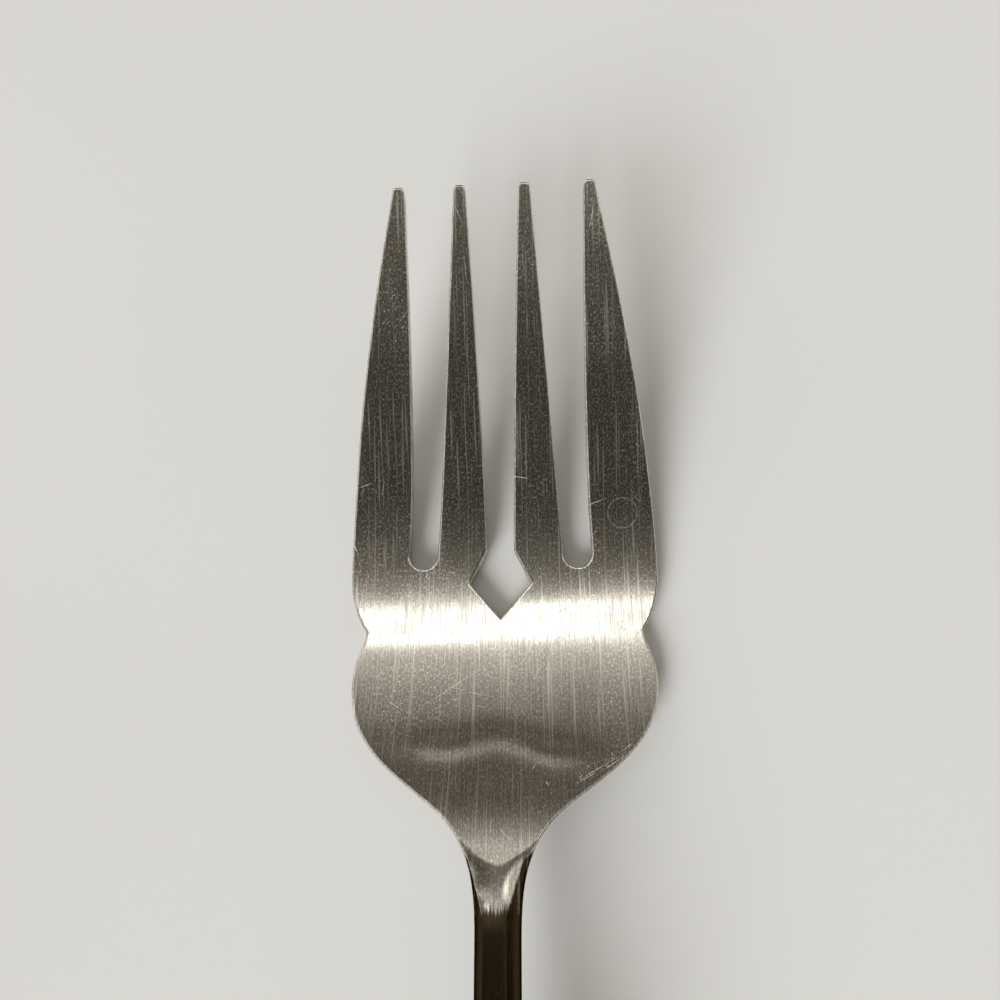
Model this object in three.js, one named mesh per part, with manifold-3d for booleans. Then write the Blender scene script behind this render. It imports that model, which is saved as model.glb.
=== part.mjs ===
// Cold meat fork with a hollow handle, in millimetres.
// The origin is under the heel of the head, where it rests on the table.
// +Y runs to the tine tips, +X to the right and +Z up, away from the table.
import * as THREE from 'three';
import { mergeVertices } from 'three/addons/utils/BufferGeometryUtils.js';
import Module from 'manifold-3d';

const wasm = await Module();
wasm.setup();

// Head in plan: places along Y are measured from the heel
const tineReach = 57.3;
const tipWidth = 2.0;
const tipRounding = 0.8;
const outerTipOffset = 12.97;
const innerTipOffset = 4.4;
const lobeWidth = 42.2;
const lobePlace = 7.5;
const flankBow = 18.3;
const notchDepth = 2.4;
const notchPlace = -0.2;
const spadeWidth = 40.3;
const spadePlace = -6.5;
const spadeFullness = 8;
const slotOffset = 10.68;
const slotWidth = 3.95;
const slotBottom = 8.5;
const centreSlotWidth = 3.75;
const diamondTop = 10.9;
const diamondMiddle = 6.4;
const diamondBottom = 1.8;
const diamondWidth = 8.3;
const flankFootWidth = 16.8;
const flankFootPlace = -21.4;
const throatCornerWidth = 6.4;
const throatCornerPlace = -24.95;
const neckPlace = -31;
const tonguePlace = -27.4;

// Head from the side
const plateThickness = 2.0;
const tipThickness = 1.4;
const heelFlat = 3.0;
const tineBend = 50;
const tineAngle = THREE.MathUtils.degToRad(22.8);
const spadeBend = 24;
const spadeAngle = THREE.MathUtils.degToRad(20.3);

// Shank and the barbed tang behind it
const shankWidth = 4.9;
const shankThickness = 4.0;
const shankLength = 27;
const neckAngle = THREE.MathUtils.degToRad(9);
const neckShare = 0.45;
const neckBlend = 0.15;
const tangWidth = 3.6;
const tangThickness = 2.8;
const tangLength = 55;
const tangTaper = 0.55;
const barbCount = 5;
const barbDepth = 0.35;

// Handle
const mouthWidth = 9.2;
const mouthThickness = 7.8;
const gripWidth = 17.2;
const gripThickness = 9.0;
const handleLength = 107.7;
const endRounding = 9;
const handleWall = 0.9;
const seamThickness = 0.2;
const restFromEnd = 11.7;
const restFlat = 0.6;
const restSlope = Math.tan(THREE.MathUtils.degToRad(5));
const ferruleLength = 6;
const ferruleBead = 0.45;
const ferruleFrontLip = 0.9;
const spigotLength = 3;
const cementCover = 12;
const clearance = 0.3;

// Facets
const curveSteps = 8;
const sectionSides = 24;
const handleSteps = 14;
const endSteps = 6;

// How far the cutting shapes run past what they cut, as a share
const overrun = 1.1;

// Throat: the outline's hollow curve from the spade's flank into the neck
const throat = new THREE.QuadraticBezierCurve(
  new THREE.Vector2(flankFootWidth / 2, flankFootPlace),
  new THREE.Vector2(throatCornerWidth / 2, throatCornerPlace),
  new THREE.Vector2(shankWidth / 2 - neckBlend, neckPlace),
);

// Places that follow from the sizes
const neckStart = throat.getPoint(neckShare).y;
const shoulderPlace = neckPlace - shankLength;
const mouthPlace = shoulderPlace - ferruleLength;
const handleEnd = mouthPlace - handleLength;
const restPlace = handleEnd + restFromEnd;
const tangEnd = shoulderPlace - tangLength;
const tangRoot = mouthPlace - spigotLength;
const cementFront = tangRoot - clearance;

const steel = { metalness: 1, roughness: 0.32 };
const finishes = {
  fork_head: { color: 0xa8a49c, ...steel },
  ferrule: { color: 0xb4b0a8, ...steel },
  handle_front_shell: { color: 0xaeaaa2, ...steel },
  handle_back_shell: { color: 0xa29e96, ...steel },
  seam_solder: { color: 0xc8c4b6, metalness: 1, roughness: 0.45 },
  tang_cement: { color: 0xb9ae98, metalness: 0, roughness: 0.95 },
};

const { lerp, smoothstep } = THREE.MathUtils;

// Height of the plate's upper face above the table, and its slope, at a place along Y
function plateTop(y) {
  const bend = y > 0 ? tineBend : spadeBend;
  const angle = y > 0 ? tineAngle : spadeAngle;
  const run = Math.max(0, Math.abs(y) - heelFlat / 2);
  const turn = Math.min(angle, Math.asin(Math.min(1, run / bend)));
  const straight = run - bend * Math.sin(turn);
  const height = plateThickness + bend * (1 - Math.cos(turn)) + straight * Math.tan(turn);
  return { height, lean: y > 0 ? turn : -turn };
}

// Right half of the head's outline, from the neck round the tines to the diamond's bottom
function halfOutline() {
  const lobe = lobeWidth / 2;
  const notch = lobe - notchDepth;
  const spade = spadeWidth / 2;
  const lobeRise = lobePlace - notchPlace;
  const lobeRadius = (notchDepth ** 2 + lobeRise ** 2) / (2 * notchDepth);
  const { v0: foot, v1: corner, v2: neck } = throat;
  const path = new THREE.Path();
  path.moveTo(neck.x, neck.y);
  path.quadraticCurveTo(corner.x, corner.y, foot.x, foot.y);
  path.bezierCurveTo(
    2 * foot.x - corner.x, 2 * foot.y - corner.y,
    spade, spadePlace - spadeFullness, spade, spadePlace,
  );
  path.bezierCurveTo(
    spade, lerp(spadePlace, notchPlace, 0.5),
    notch, lerp(spadePlace, notchPlace, 0.75), notch, notchPlace,
  );
  path.absarc(lobe - lobeRadius, lobePlace, lobeRadius, -Math.asin(lobeRise / lobeRadius), 0, false);
  const tipEdge = tineReach - tipRounding;
  path.quadraticCurveTo(lobe, lobePlace + flankBow, outerTipOffset + tipWidth / 2, tipEdge);
  roundTip(path, outerTipOffset);
  const slotRadius = slotWidth / 2;
  path.lineTo(slotOffset + slotRadius, slotBottom + slotRadius);
  path.absarc(slotOffset, slotBottom + slotRadius, slotRadius, 0, Math.PI, true);
  path.lineTo(innerTipOffset + tipWidth / 2, tipEdge);
  roundTip(path, innerTipOffset);
  path.lineTo(centreSlotWidth / 2, diamondTop);
  path.lineTo(diamondWidth / 2, diamondMiddle);
  path.lineTo(0, diamondBottom);
  return path.getPoints(curveSteps);
}

function roundTip(path, offset) {
  const half = tipWidth / 2;
  path.quadraticCurveTo(offset + half, tineReach, offset, tineReach);
  path.quadraticCurveTo(offset - half, tineReach, offset - half, tineReach - tipRounding);
}

// The head's blank, as a prism taller than the bent plate
function blankPrism() {
  const right = halfOutline();
  const left = right.slice(0, -1).reverse().map((p) => new THREE.Vector2(-p.x, p.y));
  const shape = new THREE.Shape([...right, ...left]);
  const depth = 2 * plateTop(tineReach).height;
  return new THREE.ExtrudeGeometry(shape, { depth, bevelEnabled: false }).translate(0, 0, -depth / 4);
}

// The bent plate as a strip wider than the head, from the tongue on the neck to the tips
function bentStrip() {
  const places = [-heelFlat / 2, heelFlat / 2, tonguePlace, overrun * tineReach];
  for (let i = 1; i <= curveSteps; i += 1) {
    places.push(heelFlat / 2 + tineBend * Math.sin((tineAngle * i) / curveSteps));
    places.push(-heelFlat / 2 - spadeBend * Math.sin((spadeAngle * i) / curveSteps));
  }
  places.sort((a, b) => a - b);
  const upper = places.map((y) => new THREE.Vector2(y, plateTop(y).height));
  const lower = places.map((y) => {
    const { height, lean } = plateTop(y);
    const share = Math.max(0, (y - heelFlat / 2) / (tineReach - heelFlat / 2));
    const thick = lerp(plateThickness, tipThickness, share);
    return new THREE.Vector2(y + thick * Math.sin(lean), height - thick * Math.cos(lean));
  });
  const shape = new THREE.Shape([...lower, ...upper.reverse()]);
  const depth = overrun * Math.max(lobeWidth, spadeWidth);
  const axes = new THREE.Matrix4().makeBasis(
    new THREE.Vector3(0, 1, 0), new THREE.Vector3(0, 0, 1), new THREE.Vector3(1, 0, 0),
  );
  const strip = new THREE.ExtrudeGeometry(shape, { depth, bevelEnabled: false });
  return strip.applyMatrix4(axes).translate(-depth / 2, 0, 0);
}

// Height of the centre line from the neck, over the crest, to the rest under the handle's end
function makeSpine() {
  const third = (neckStart - restPlace) / 3;
  const start = plateTop(neckStart).height - plateThickness / (2 * Math.cos(spadeAngle));
  const rest = gripThickness / 2 - restFlat;
  return new THREE.CubicBezierCurve(
    new THREE.Vector2(neckStart, start),
    new THREE.Vector2(neckStart - third, start + third * Math.tan(neckAngle)),
    new THREE.Vector2(restPlace + third, rest + third * restSlope),
    new THREE.Vector2(restPlace, rest),
  );
}

const spine = makeSpine();

function spineHeight(y) {
  return spine.getPoint((neckStart - y) / (neckStart - restPlace)).y;
}

// A ring across the centre line: squareness 2 is an ellipse, more is boxier
function ring(y, width, thickness, squareness = 2) {
  const centre = spineHeight(y);
  const points = [];
  for (let i = 0; i < sectionSides; i += 1) {
    const angle = (2 * Math.PI * i) / sectionSides;
    const across = Math.sign(Math.cos(angle)) * Math.abs(Math.cos(angle)) ** (2 / squareness);
    const up = Math.sign(Math.sin(angle)) * Math.abs(Math.sin(angle)) ** (2 / squareness);
    points.push(new THREE.Vector3((width / 2) * across, y, centre + (thickness / 2) * up));
  }
  return points;
}

// Skin over a row of rings, with flat ends, or running back to the first ring
function loft(rings, looped = false) {
  const count = rings[0].length;
  const triangles = [];
  const strips = looped ? rings.length : rings.length - 1;
  for (let i = 0; i < strips; i += 1) {
    const from = rings[i];
    const to = rings[(i + 1) % rings.length];
    for (let j = 0; j < count; j += 1) {
      const k = (j + 1) % count;
      triangles.push([from[j], from[k], to[k]], [from[j], to[k], to[j]]);
    }
  }
  if (!looped) {
    const first = rings[0];
    const last = rings[rings.length - 1];
    flatEnd(first).forEach(([a, b, c]) => triangles.push([first[c], first[b], first[a]]));
    flatEnd(last).forEach(([a, b, c]) => triangles.push([last[a], last[b], last[c]]));
  }
  return skin(triangles);
}

// Triangles over a ring that lies across Y; none where the ring has closed to a line
function flatEnd(points) {
  const flat = points.map((p) => new THREE.Vector2(p.x, p.z));
  const area = THREE.ShapeUtils.area(flat);
  if (Math.abs(area) < 1e-6) return [];
  const faces = THREE.ShapeUtils.triangulateShape(flat, []);
  return area > 0 ? faces : faces.map(([a, b, c]) => [a, c, b]);
}

// Closed geometry from loose triangles, facing out
function skin(triangles) {
  const corners = triangles.flat().flatMap((p) => [p.x, p.y, p.z]);
  const loose = new THREE.BufferGeometry();
  loose.setAttribute('position', new THREE.Float32BufferAttribute(corners, 3));
  const merged = mergeVertices(loose, 1e-5);
  const index = Array.from(merged.index.array);
  const faces = [];
  for (let i = 0; i < index.length; i += 3) {
    const [a, b, c] = index.slice(i, i + 3);
    if (a !== b && b !== c && c !== a) faces.push([a, b, c]);
  }
  const place = (i) => new THREE.Vector3().fromBufferAttribute(merged.attributes.position, i);
  let volume = 0;
  faces.forEach(([a, b, c]) => {
    volume += place(a).dot(place(b).cross(place(c)));
  });
  merged.setIndex((volume > 0 ? faces : faces.map(([a, b, c]) => [c, b, a])).flat());
  return merged;
}

function toSolid(geometry) {
  const bare = geometry.clone();
  bare.deleteAttribute('normal');
  bare.deleteAttribute('uv');
  const merged = mergeVertices(bare, 1e-5);
  return new wasm.Manifold(new wasm.Mesh({
    numProp: 3,
    vertProperties: new Float32Array(merged.attributes.position.array),
    triVerts: new Uint32Array(merged.index.array),
  }));
}

function toGeometry(solid) {
  const mesh = solid.getMesh();
  const geometry = new THREE.BufferGeometry();
  geometry.setAttribute('position', new THREE.BufferAttribute(mesh.vertProperties, 3));
  geometry.setIndex(new THREE.BufferAttribute(mesh.triVerts, 1));
  return geometry;
}

// Section of the tang at a place along Y, its sides moved out by a spread and its faces by a room
function tangRing(y, spread, room = 0) {
  const size = lerp(1, tangTaper, Math.max(0, (tangRoot - y) / (tangRoot - tangEnd)));
  return ring(y, size * tangWidth + 2 * (spread + room), size * tangThickness + 2 * room, 4);
}

// Along the tang, each barb's sides draw in to a valley and spread again to a peak
function barbPlaces() {
  const barbLength = (tangRoot - tangEnd) / barbCount;
  return Array.from({ length: barbCount }, (_, i) => ({
    valley: tangRoot - barbLength * (i + 0.3),
    peak: tangRoot - barbLength * (i + 0.8),
  }));
}

// Neck, shank and tang: the neck grows out of the plate, the tang steps in at the shoulder
function shankAndTang() {
  const rings = [];
  for (let i = 0; i <= curveSteps; i += 1) {
    const share = i / curveSteps;
    const edge = throat.getPoint(lerp(neckShare, 1, share));
    const thickness = lerp(plateThickness, shankThickness, smoothstep(share, 0, 1));
    rings.push(ring(edge.y, 2 * (edge.x + neckBlend), thickness, 3));
  }
  for (let i = 1; i <= curveSteps; i += 1) {
    const y = lerp(neckPlace, shoulderPlace, i / curveSteps);
    rings.push(ring(y, shankWidth, shankThickness, 3));
  }
  rings.push(tangRing(shoulderPlace, 0));
  rings.push(tangRing(tangRoot, 0));
  barbPlaces().forEach(({ valley, peak }) => {
    rings.push(tangRing(valley, -barbDepth));
    rings.push(tangRing(peak, 0));
  });
  rings.push(tangRing(tangEnd, -barbDepth));
  return loft(rings);
}

function forkHead() {
  const plate = toSolid(blankPrism()).intersect(toSolid(bentStrip()));
  return toGeometry(plate.add(toSolid(shankAndTang())));
}

// Handle sizes at a share of the straight length, an inset inside the outer skin
function handleSize(share, inset) {
  const swell = smoothstep(share, 0, 1);
  return {
    width: lerp(mouthWidth, gripWidth, swell) - 2 * inset,
    thickness: lerp(mouthThickness, gripThickness, swell) - 2 * inset,
  };
}

// Stations along the handle: straight ones, then ones that close round the end
function handleStations(inset) {
  const roundStart = handleEnd + endRounding;
  const stations = [];
  for (let i = 0; i <= handleSteps; i += 1) {
    const share = i / handleSteps;
    stations.push({ y: lerp(mouthPlace, roundStart, share), ...handleSize(share, inset) });
  }
  const full = handleSize(1, inset);
  for (let i = 1; i <= endSteps; i += 1) {
    const angle = (i / endSteps) * (Math.PI / 2);
    const closing = i === endSteps ? 0 : Math.cos(angle);
    stations.push({
      y: roundStart - (endRounding - inset) * Math.sin(angle),
      width: full.width * closing,
      thickness: full.thickness * closing,
    });
  }
  return stations;
}

// Half a section from the right rim over to the left; side is 1 for the front and -1 for the back
function halfArc({ y, width, thickness }, side, floor) {
  const points = [];
  const rim = spineHeight(y) + (side * seamThickness) / 2;
  const rise = Math.max(0, thickness / 2 - seamThickness / 2);
  for (let j = 0; j <= sectionSides / 2; j += 1) {
    const angle = (2 * Math.PI * j) / sectionSides;
    const across = j === sectionSides / 4 ? 0 : Math.cos(angle);
    const up = j === sectionSides / 2 ? 0 : Math.sin(angle);
    points.push(new THREE.Vector3((width / 2) * across, y, Math.max(floor, rim + side * rise * up)));
  }
  return points;
}

// One struck half of the handle, pressed flat underneath where the back rests on the table
function handleShell(side) {
  const inner = handleStations(handleWall);
  const rings = handleStations(0).map((station, i) => [
    ...halfArc(station, side, 0),
    ...halfArc(inner[i], side, handleWall).reverse(),
  ]);
  return loft(rings);
}

// Ribbon of solder between the rims of the two halves
function seamSolder() {
  const outer = handleStations(0);
  const inner = handleStations(handleWall);
  const slice = (i, hand) => [outer[i], inner[i], inner[i], outer[i]].map(({ y, width }, corner) => {
    const lift = corner < 2 ? seamThickness / 2 : -seamThickness / 2;
    return new THREE.Vector3((hand * width) / 2, y, spineHeight(y) + lift);
  });
  const rightSide = outer.map((_, i) => slice(i, 1));
  const leftSide = outer.slice(0, -1).map((_, i) => slice(i, -1)).reverse();
  return loft([...rightSide, ...leftSide]);
}

// Collar that the shank's shoulder seats on, with a spigot inside the handle's mouth
function ferrule() {
  const beadPlace = lerp(shoulderPlace, mouthPlace, 0.6);
  const fit = 2 * (handleWall + clearance);
  return loft([
    tangRing(shoulderPlace, 0, clearance),
    ring(shoulderPlace, shankWidth + 2 * ferruleFrontLip, shankThickness + 2 * ferruleFrontLip),
    ring(lerp(shoulderPlace, beadPlace, 0.4), mouthWidth, mouthThickness),
    ring(beadPlace, mouthWidth + 2 * ferruleBead, mouthThickness + 2 * ferruleBead),
    ring(lerp(mouthPlace, beadPlace, 0.25), mouthWidth + ferruleBead, mouthThickness + ferruleBead),
    ring(mouthPlace, mouthWidth, mouthThickness),
    ring(mouthPlace, mouthWidth - fit, mouthThickness - fit),
    ring(tangRoot, mouthWidth - fit, mouthThickness - fit),
    tangRing(tangRoot, 0, clearance),
  ], true);
}

// Cement cast round the tang inside the handle
function tangCement() {
  const fill = handleStations(handleWall + clearance);
  const cementEnd = tangEnd - cementCover;
  const sizeAt = (y) => {
    const straight = mouthPlace - handleEnd - endRounding;
    return handleSize((mouthPlace - y) / straight, handleWall + clearance);
  };
  const section = (y) => ring(y, sizeAt(y).width, sizeAt(y).thickness);
  const between = fill.map((station) => station.y).filter((y) => y < cementFront && y > cementEnd);
  const outer = [cementFront, ...between, cementEnd].map(section).reverse();
  const pocket = barbPlaces().map(({ peak }) => tangRing(peak, 0, clearance));
  return loft([
    ...outer,
    tangRing(cementFront, 0, clearance),
    ...pocket,
    tangRing(tangEnd - clearance, 0, clearance),
  ]);
}

function piece(name, geometry) {
  const bare = geometry.index ? geometry.toNonIndexed() : geometry;
  bare.computeVertexNormals();
  const mesh = new THREE.Mesh(bare, new THREE.MeshStandardMaterial(finishes[name]));
  mesh.name = name;
  return mesh;
}

const fork = new THREE.Group();
fork.add(
  piece('fork_head', forkHead()),
  piece('ferrule', ferrule()),
  piece('handle_front_shell', handleShell(1)),
  piece('handle_back_shell', handleShell(-1)),
  piece('seam_solder', seamSolder()),
  piece('tang_cement', tangCement()),
);

export default fork;
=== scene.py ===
"""Cold meat fork: forged head, ferrule and hollow handle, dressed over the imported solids."""

import math

import bmesh
import bpy
import numpy as np
from bpy.props import FloatProperty, FloatVectorProperty, IntProperty, PointerProperty
from mathutils import Euler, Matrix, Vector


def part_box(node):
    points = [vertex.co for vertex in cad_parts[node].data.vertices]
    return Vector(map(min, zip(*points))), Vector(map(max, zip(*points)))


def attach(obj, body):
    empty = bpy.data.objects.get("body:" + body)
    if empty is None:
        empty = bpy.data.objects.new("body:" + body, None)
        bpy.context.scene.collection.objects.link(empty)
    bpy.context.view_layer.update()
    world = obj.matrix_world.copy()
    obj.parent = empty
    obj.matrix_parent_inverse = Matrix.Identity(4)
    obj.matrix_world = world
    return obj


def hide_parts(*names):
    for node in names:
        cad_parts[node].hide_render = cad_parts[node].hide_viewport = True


bl_info = {
    "name": "Cold Meat Fork",
    "version": (1, 0, 0),
    "blender": (4, 5, 0),
    "location": "View3D > Sidebar > Fork",
    "description": "Models the head, ferrule and hollow handle of a cold meat fork",
    "category": "Add Mesh",
}

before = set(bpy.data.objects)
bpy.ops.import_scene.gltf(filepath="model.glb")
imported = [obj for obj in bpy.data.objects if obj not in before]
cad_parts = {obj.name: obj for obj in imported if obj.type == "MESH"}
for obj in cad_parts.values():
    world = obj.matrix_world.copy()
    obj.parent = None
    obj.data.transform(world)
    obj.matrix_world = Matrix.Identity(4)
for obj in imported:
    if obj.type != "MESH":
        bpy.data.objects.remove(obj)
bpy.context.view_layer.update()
HEAD_LOW, HEAD_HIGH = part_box("fork_head")
FERRULE_LOW, FERRULE_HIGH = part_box("ferrule")
SHELL_LOW, SHELL_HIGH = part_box("handle_front_shell")

MM = 0.001
BODY = "root"
GRAIN = "grain_place"
# Point attribute of painted shade: how far the head's colour is darkened to stand in for shadow on the
# neck's sides and dark reflection along the shank
PAINTED_SHADE = "painted_shade"

# Points this near lie in one place, points this near are merged, and no ring is smaller than this
NEAR = 0.01 * MM
MERGED = 0.002 * MM
LEAST = 0.001 * MM
# Sharper edges than these stay sharp on forged and turned pieces, and on struck sheet
FORGED_CREASE = math.radians(35)
SHEET_CREASE = math.radians(40)


def length(name, description, millimetres):
    return FloatProperty(name=name, description=description, default=millimetres * MM, unit="LENGTH")


def angle(name, description, degrees):
    return FloatProperty(name=name, description=description, default=math.radians(degrees), unit="ROTATION")


def share(name, description, part):
    return FloatProperty(name=name, description=description, default=part, subtype="FACTOR", min=0, max=1)


def number(name, description, value):
    return FloatProperty(name=name, description=description, default=value, subtype="UNSIGNED", min=0)


def count(name, description, value):
    return IntProperty(name=name, description=description, default=value, subtype="UNSIGNED", min=1)


def colour(name, description, value):
    return FloatVectorProperty(
        name=name, description=description, default=value, subtype="COLOR", size=3, min=0, max=1
    )


class ForkHeadSizes(bpy.types.PropertyGroup):
    """Outline, bend and section of the head; places are measured along the fork from its heel."""

    tine_reach: length("Tine reach", "Heel to the tips of the tines", HEAD_HIGH.y / MM)
    tip_width: length("Tip width", "Width of a tine before its rounded tip", 1.7)
    tip_end: length("Tip end", "Width left at the very end of a tine", 0.7)
    tip_rounding: length("Tip rounding", "Length of a tine's rounded tip", 0.9)
    outer_tip: length("Outer tip", "Middle of the fork to an outer tip", 12.97)
    inner_tip: length("Inner tip", "Middle of the fork to an inner tip", 4.4)
    lobe_width: length("Lobe width", "Width across the lobes under the tines", 2 * HEAD_HIGH.x / MM)
    lobe_place: length("Lobe place", "Where the lobes are widest", 7.5)
    flank_bow: length("Flank bow", "How far the lobes stay full towards the tips", 18.3)
    notch_depth: length("Notch depth", "Depth of the waist below the lobes", 2.4)
    notch_place: length("Notch place", "Where the waist is narrowest", -0.2)
    spade_width: length("Spade width", "Width across the spade", 40.3)
    spade_place: length("Spade place", "Where the spade is widest", -6.5)
    spade_fullness: length("Spade fullness", "How far the spade stays full towards the neck", 8.0)
    foot_width: length("Foot width", "Width where the spade's flanks turn into the throat", 16.8)
    foot_place: length("Foot place", "Where the spade's flanks turn into the throat", -21.4)
    throat_width: length("Throat width", "Width that the throat's hollow curve aims for", 5.2)
    throat_place: length("Throat place", "Where the throat's hollow curve aims for", -25.5)
    neck_width: length("Neck width", "Width of the neck under the throat", 5.2)
    neck_place: length("Neck place", "Where the throat has run out into the shank", -37.0)
    shank_width: length("Shank width", "Width of the shank", 4.9)
    slot_offset: length("Slot offset", "Middle of the fork to an outer slot's round bottom", 10.68)
    slot_width: length("Slot width", "Width of an outer slot at its bottom", 3.95)
    slot_bottom: length("Slot bottom", "Where an outer slot ends", 8.5)
    centre_slot: length("Centre slot", "Width of the centre slot above the diamond", 3.75)
    diamond_top: length("Diamond top", "Where the diamond opens out of the centre slot", 10.9)
    diamond_middle: length("Diamond middle", "Where the diamond is widest", 6.4)
    diamond_bottom: length("Diamond bottom", "Where the diamond ends", 1.8)
    diamond_width: length("Diamond width", "Width of the diamond", 8.3)

    flank_lean: length("Flank lean", "How far the head's flanks stand to the right of its slots", 0.35)
    tip_lean: length("Tip lean", "How far the outer tips stand to the right of even places", 0.2)
    outer_bow: length("Outer bow", "How far an outer tine bows into its slot", 0.75)
    inner_bow: length("Inner bow", "How far an inner tine bows into the centre slot", 0.4)

    plate_thickness: length("Plate thickness", "Thickness of the plate", 2.0)
    tip_thickness: length("Tip thickness", "Thickness of the tines at their tips", 1.4)
    edge_round: length("Edge round", "Radius worn on the plate's edges", 0.3)
    edge_land: length("Edge land", "Strip of face beside a rounded edge", 0.12)
    heel_front: length("Heel front", "Flat under the heel, towards the tines", 2.0)
    heel_back: length("Heel back", "Flat under the heel, towards the neck", 0.5)
    tine_bend: length("Tine bend", "Radius of the bend up to the tines", 50.0)
    tine_angle: angle("Tine angle", "Slope of the tines", 22.8)
    spade_bend: length("Spade bend", "Radius of the bend up to the neck", 40.0)
    spade_angle: angle("Spade angle", "Slope of the spade towards the neck", 25.0)

    fold_place: length("Fold place", "Top of the soft fold that arches across the spade", -13.7)
    fold_sag: length("Fold sag", "How far the fold's ends lie behind its top", 1.6)
    fold_reach: length("Fold reach", "Middle of the fork to the fold's ends", 7.0)
    fold_lean: share("Fold lean", "How far the fold leans back to the right, per width", 0.06)
    fold_width: length("Fold width", "Half width of the fold", 1.6)
    fold_height: length("Fold height", "Height of the fold in the middle", 0.24)
    fold_growth: number("Fold growth", "Height of the fold at its ends beside the middle", 1.5)

    plate_end: length("Plate end", "Where the flat plate turns into the neck", -22.0)
    ease_place: length("Ease place", "Where the spade starts to level towards its tongue", -20.5)
    level_place: length("Level place", "Where the spade has come down to its tongue's slope", -25.4)
    tongue_place: length("Tongue place", "Where the spade's tongue meets the neck", -27.6)
    tongue_angle: angle("Tongue angle", "Slope of the tongue", 12.0)
    tongue_sweep: angle("Tongue sweep", "How far the tongue's rim leans back to the shoulders", 36.6)
    tongue_round: length("Tongue round", "Radius at the bottom of the tongue", 1.1)
    tongue_half: length("Tongue half", "Half the width over which the tongue's rim leans back", 5.5)
    tongue_fade: length("Tongue fade", "How far behind its rim the tongue's curve fades", 5.0)
    ramp_end: length("Ramp end", "Where the hollow behind the tongue runs out", -32.5)
    ramp_angle: angle("Ramp angle", "Slope of the hollow behind the tongue's rim", 21.0)
    ramp_round: length("Ramp round", "How far the ramp's upper bend is rounded off", 0.8)
    ridge_place: length("Ridge place", "Where the ridges beside the hollow start", -25.2)
    ridge_middle: length("Ridge middle", "Half the distance that the ridges aim for between", 2.6)
    ridge_end: length("Ridge end", "Half the distance between the ridges along the shank", 1.55)
    ridge_angle: angle("Ridge angle", "How steeply the sides fall from the ridges", 38.0)
    shank_angle: angle("Shank angle", "How steeply the shank's sides start", 14.0)
    shank_thickness: length("Shank thickness", "Thickness of the shank", 4.0)
    ridge_run: length("Ridge run", "How fast the ridges grow out of the head's edge", 2.0)
    ridge_lean: length("Ridge lean", "How far the right ridge stands in from an even place", 0.5)
    rim_run: length("Rim run", "How fast the hollow deepens behind the tongue", 3.2)
    hollow_rim: length("Hollow rim", "Height of the ridges over the hollow", 0.95)
    shank_rim: length("Shank rim", "Height of the ridges over the shank's back", 0.15)
    shank_crown: length("Shank crown", "How far the shank's back is rounded at the ferrule", 0.3)
    shank_back: length("Shank back", "Height of the shank's back over its centre line", 1.6)
    hump: length("Hump", "How far the shank's back swells where the hollow ends", 0.2)
    hump_place: length("Hump place", "Where the swelling of the shank's back starts to fade", -32.0)
    hump_run: length("Hump run", "Length over which the swelling fades", 12.0)
    # Painted shade along the shank: where it starts and where it is full
    dark_start: length("Dark start", "Where the shank's tarnish begins", -30.2)
    dark_end: length("Dark end", "Where the shank's tarnish is full", -32.8)
    neck_start: length("Neck start", "Where the centre line of the neck starts", -25.1)
    neck_height: length("Neck height", "Height of the centre line where it starts", 8.07)
    neck_angle: angle("Neck angle", "Slope of the centre line where it starts", 9.0)
    swell_end: length("Swell end", "Where the neck has its full thickness", -31.0)

    shoulder: length("Shoulder", "Where the shank's shoulder seats on the ferrule", FERRULE_HIGH.y / MM)
    tang_root: length("Tang root", "Where the tang leaves the ferrule", FERRULE_LOW.y / MM)
    tang_end: length("Tang end", "End of the tang inside the handle", HEAD_LOW.y / MM)
    tang_width: length("Tang width", "Width of the tang at its root", 3.6)
    tang_thickness: length("Tang thickness", "Thickness of the tang at its root", 2.8)
    tang_taper: share("Tang taper", "Size of the tang's end beside its root", 0.55)
    barb_count: count("Barbs", "Barbs along the tang", 5)
    barb_depth: length("Barb depth", "Depth of a barb", 0.35)


class ForkHandleSizes(bpy.types.PropertyGroup):
    """Sizes of the hollow handle, its seam and its ferrule."""

    mouth: length("Mouth", "Where the handle meets the ferrule", SHELL_HIGH.y / MM)
    end: length("End", "End of the handle", SHELL_LOW.y / MM)
    mouth_width: length("Mouth width", "Width of the handle's mouth", 9.2)
    mouth_thickness: length("Mouth thickness", "Thickness of the handle's mouth", 7.8)
    grip_width: length("Grip width", "Widest part of the handle", 2 * SHELL_HIGH.x / MM)
    grip_thickness: length("Grip thickness", "Thickest part of the handle", 9.0)
    end_rounding: length("End rounding", "Length of the handle's rounded end", 9.0)
    wall: length("Wall", "Thickness of the handle's walls", 0.9)
    seam: length("Seam", "Thickness of the solder between the shells", 0.2)
    seam_proud: length("Seam proud", "How far the filed solder stands off the shells", 0.03)
    rest_place: length("Rest place", "Where the handle rests on the table", -160.0)
    rest_flat: length("Rest flat", "How deep the handle is pressed flat underneath", 0.6)
    rest_slope: angle("Rest slope", "Slope of the handle over its rest", 5.0)
    lip: length("Lip", "Ferrule's front face beyond the shank", 0.9)
    bead: length("Bead", "Height of the ferrule's bead", 0.45)
    bore: length("Bore", "Room round the tang in the ferrule", 0.4)
    fit: length("Fit", "Gap between the spigot and the handle's wall", 0.3)


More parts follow.
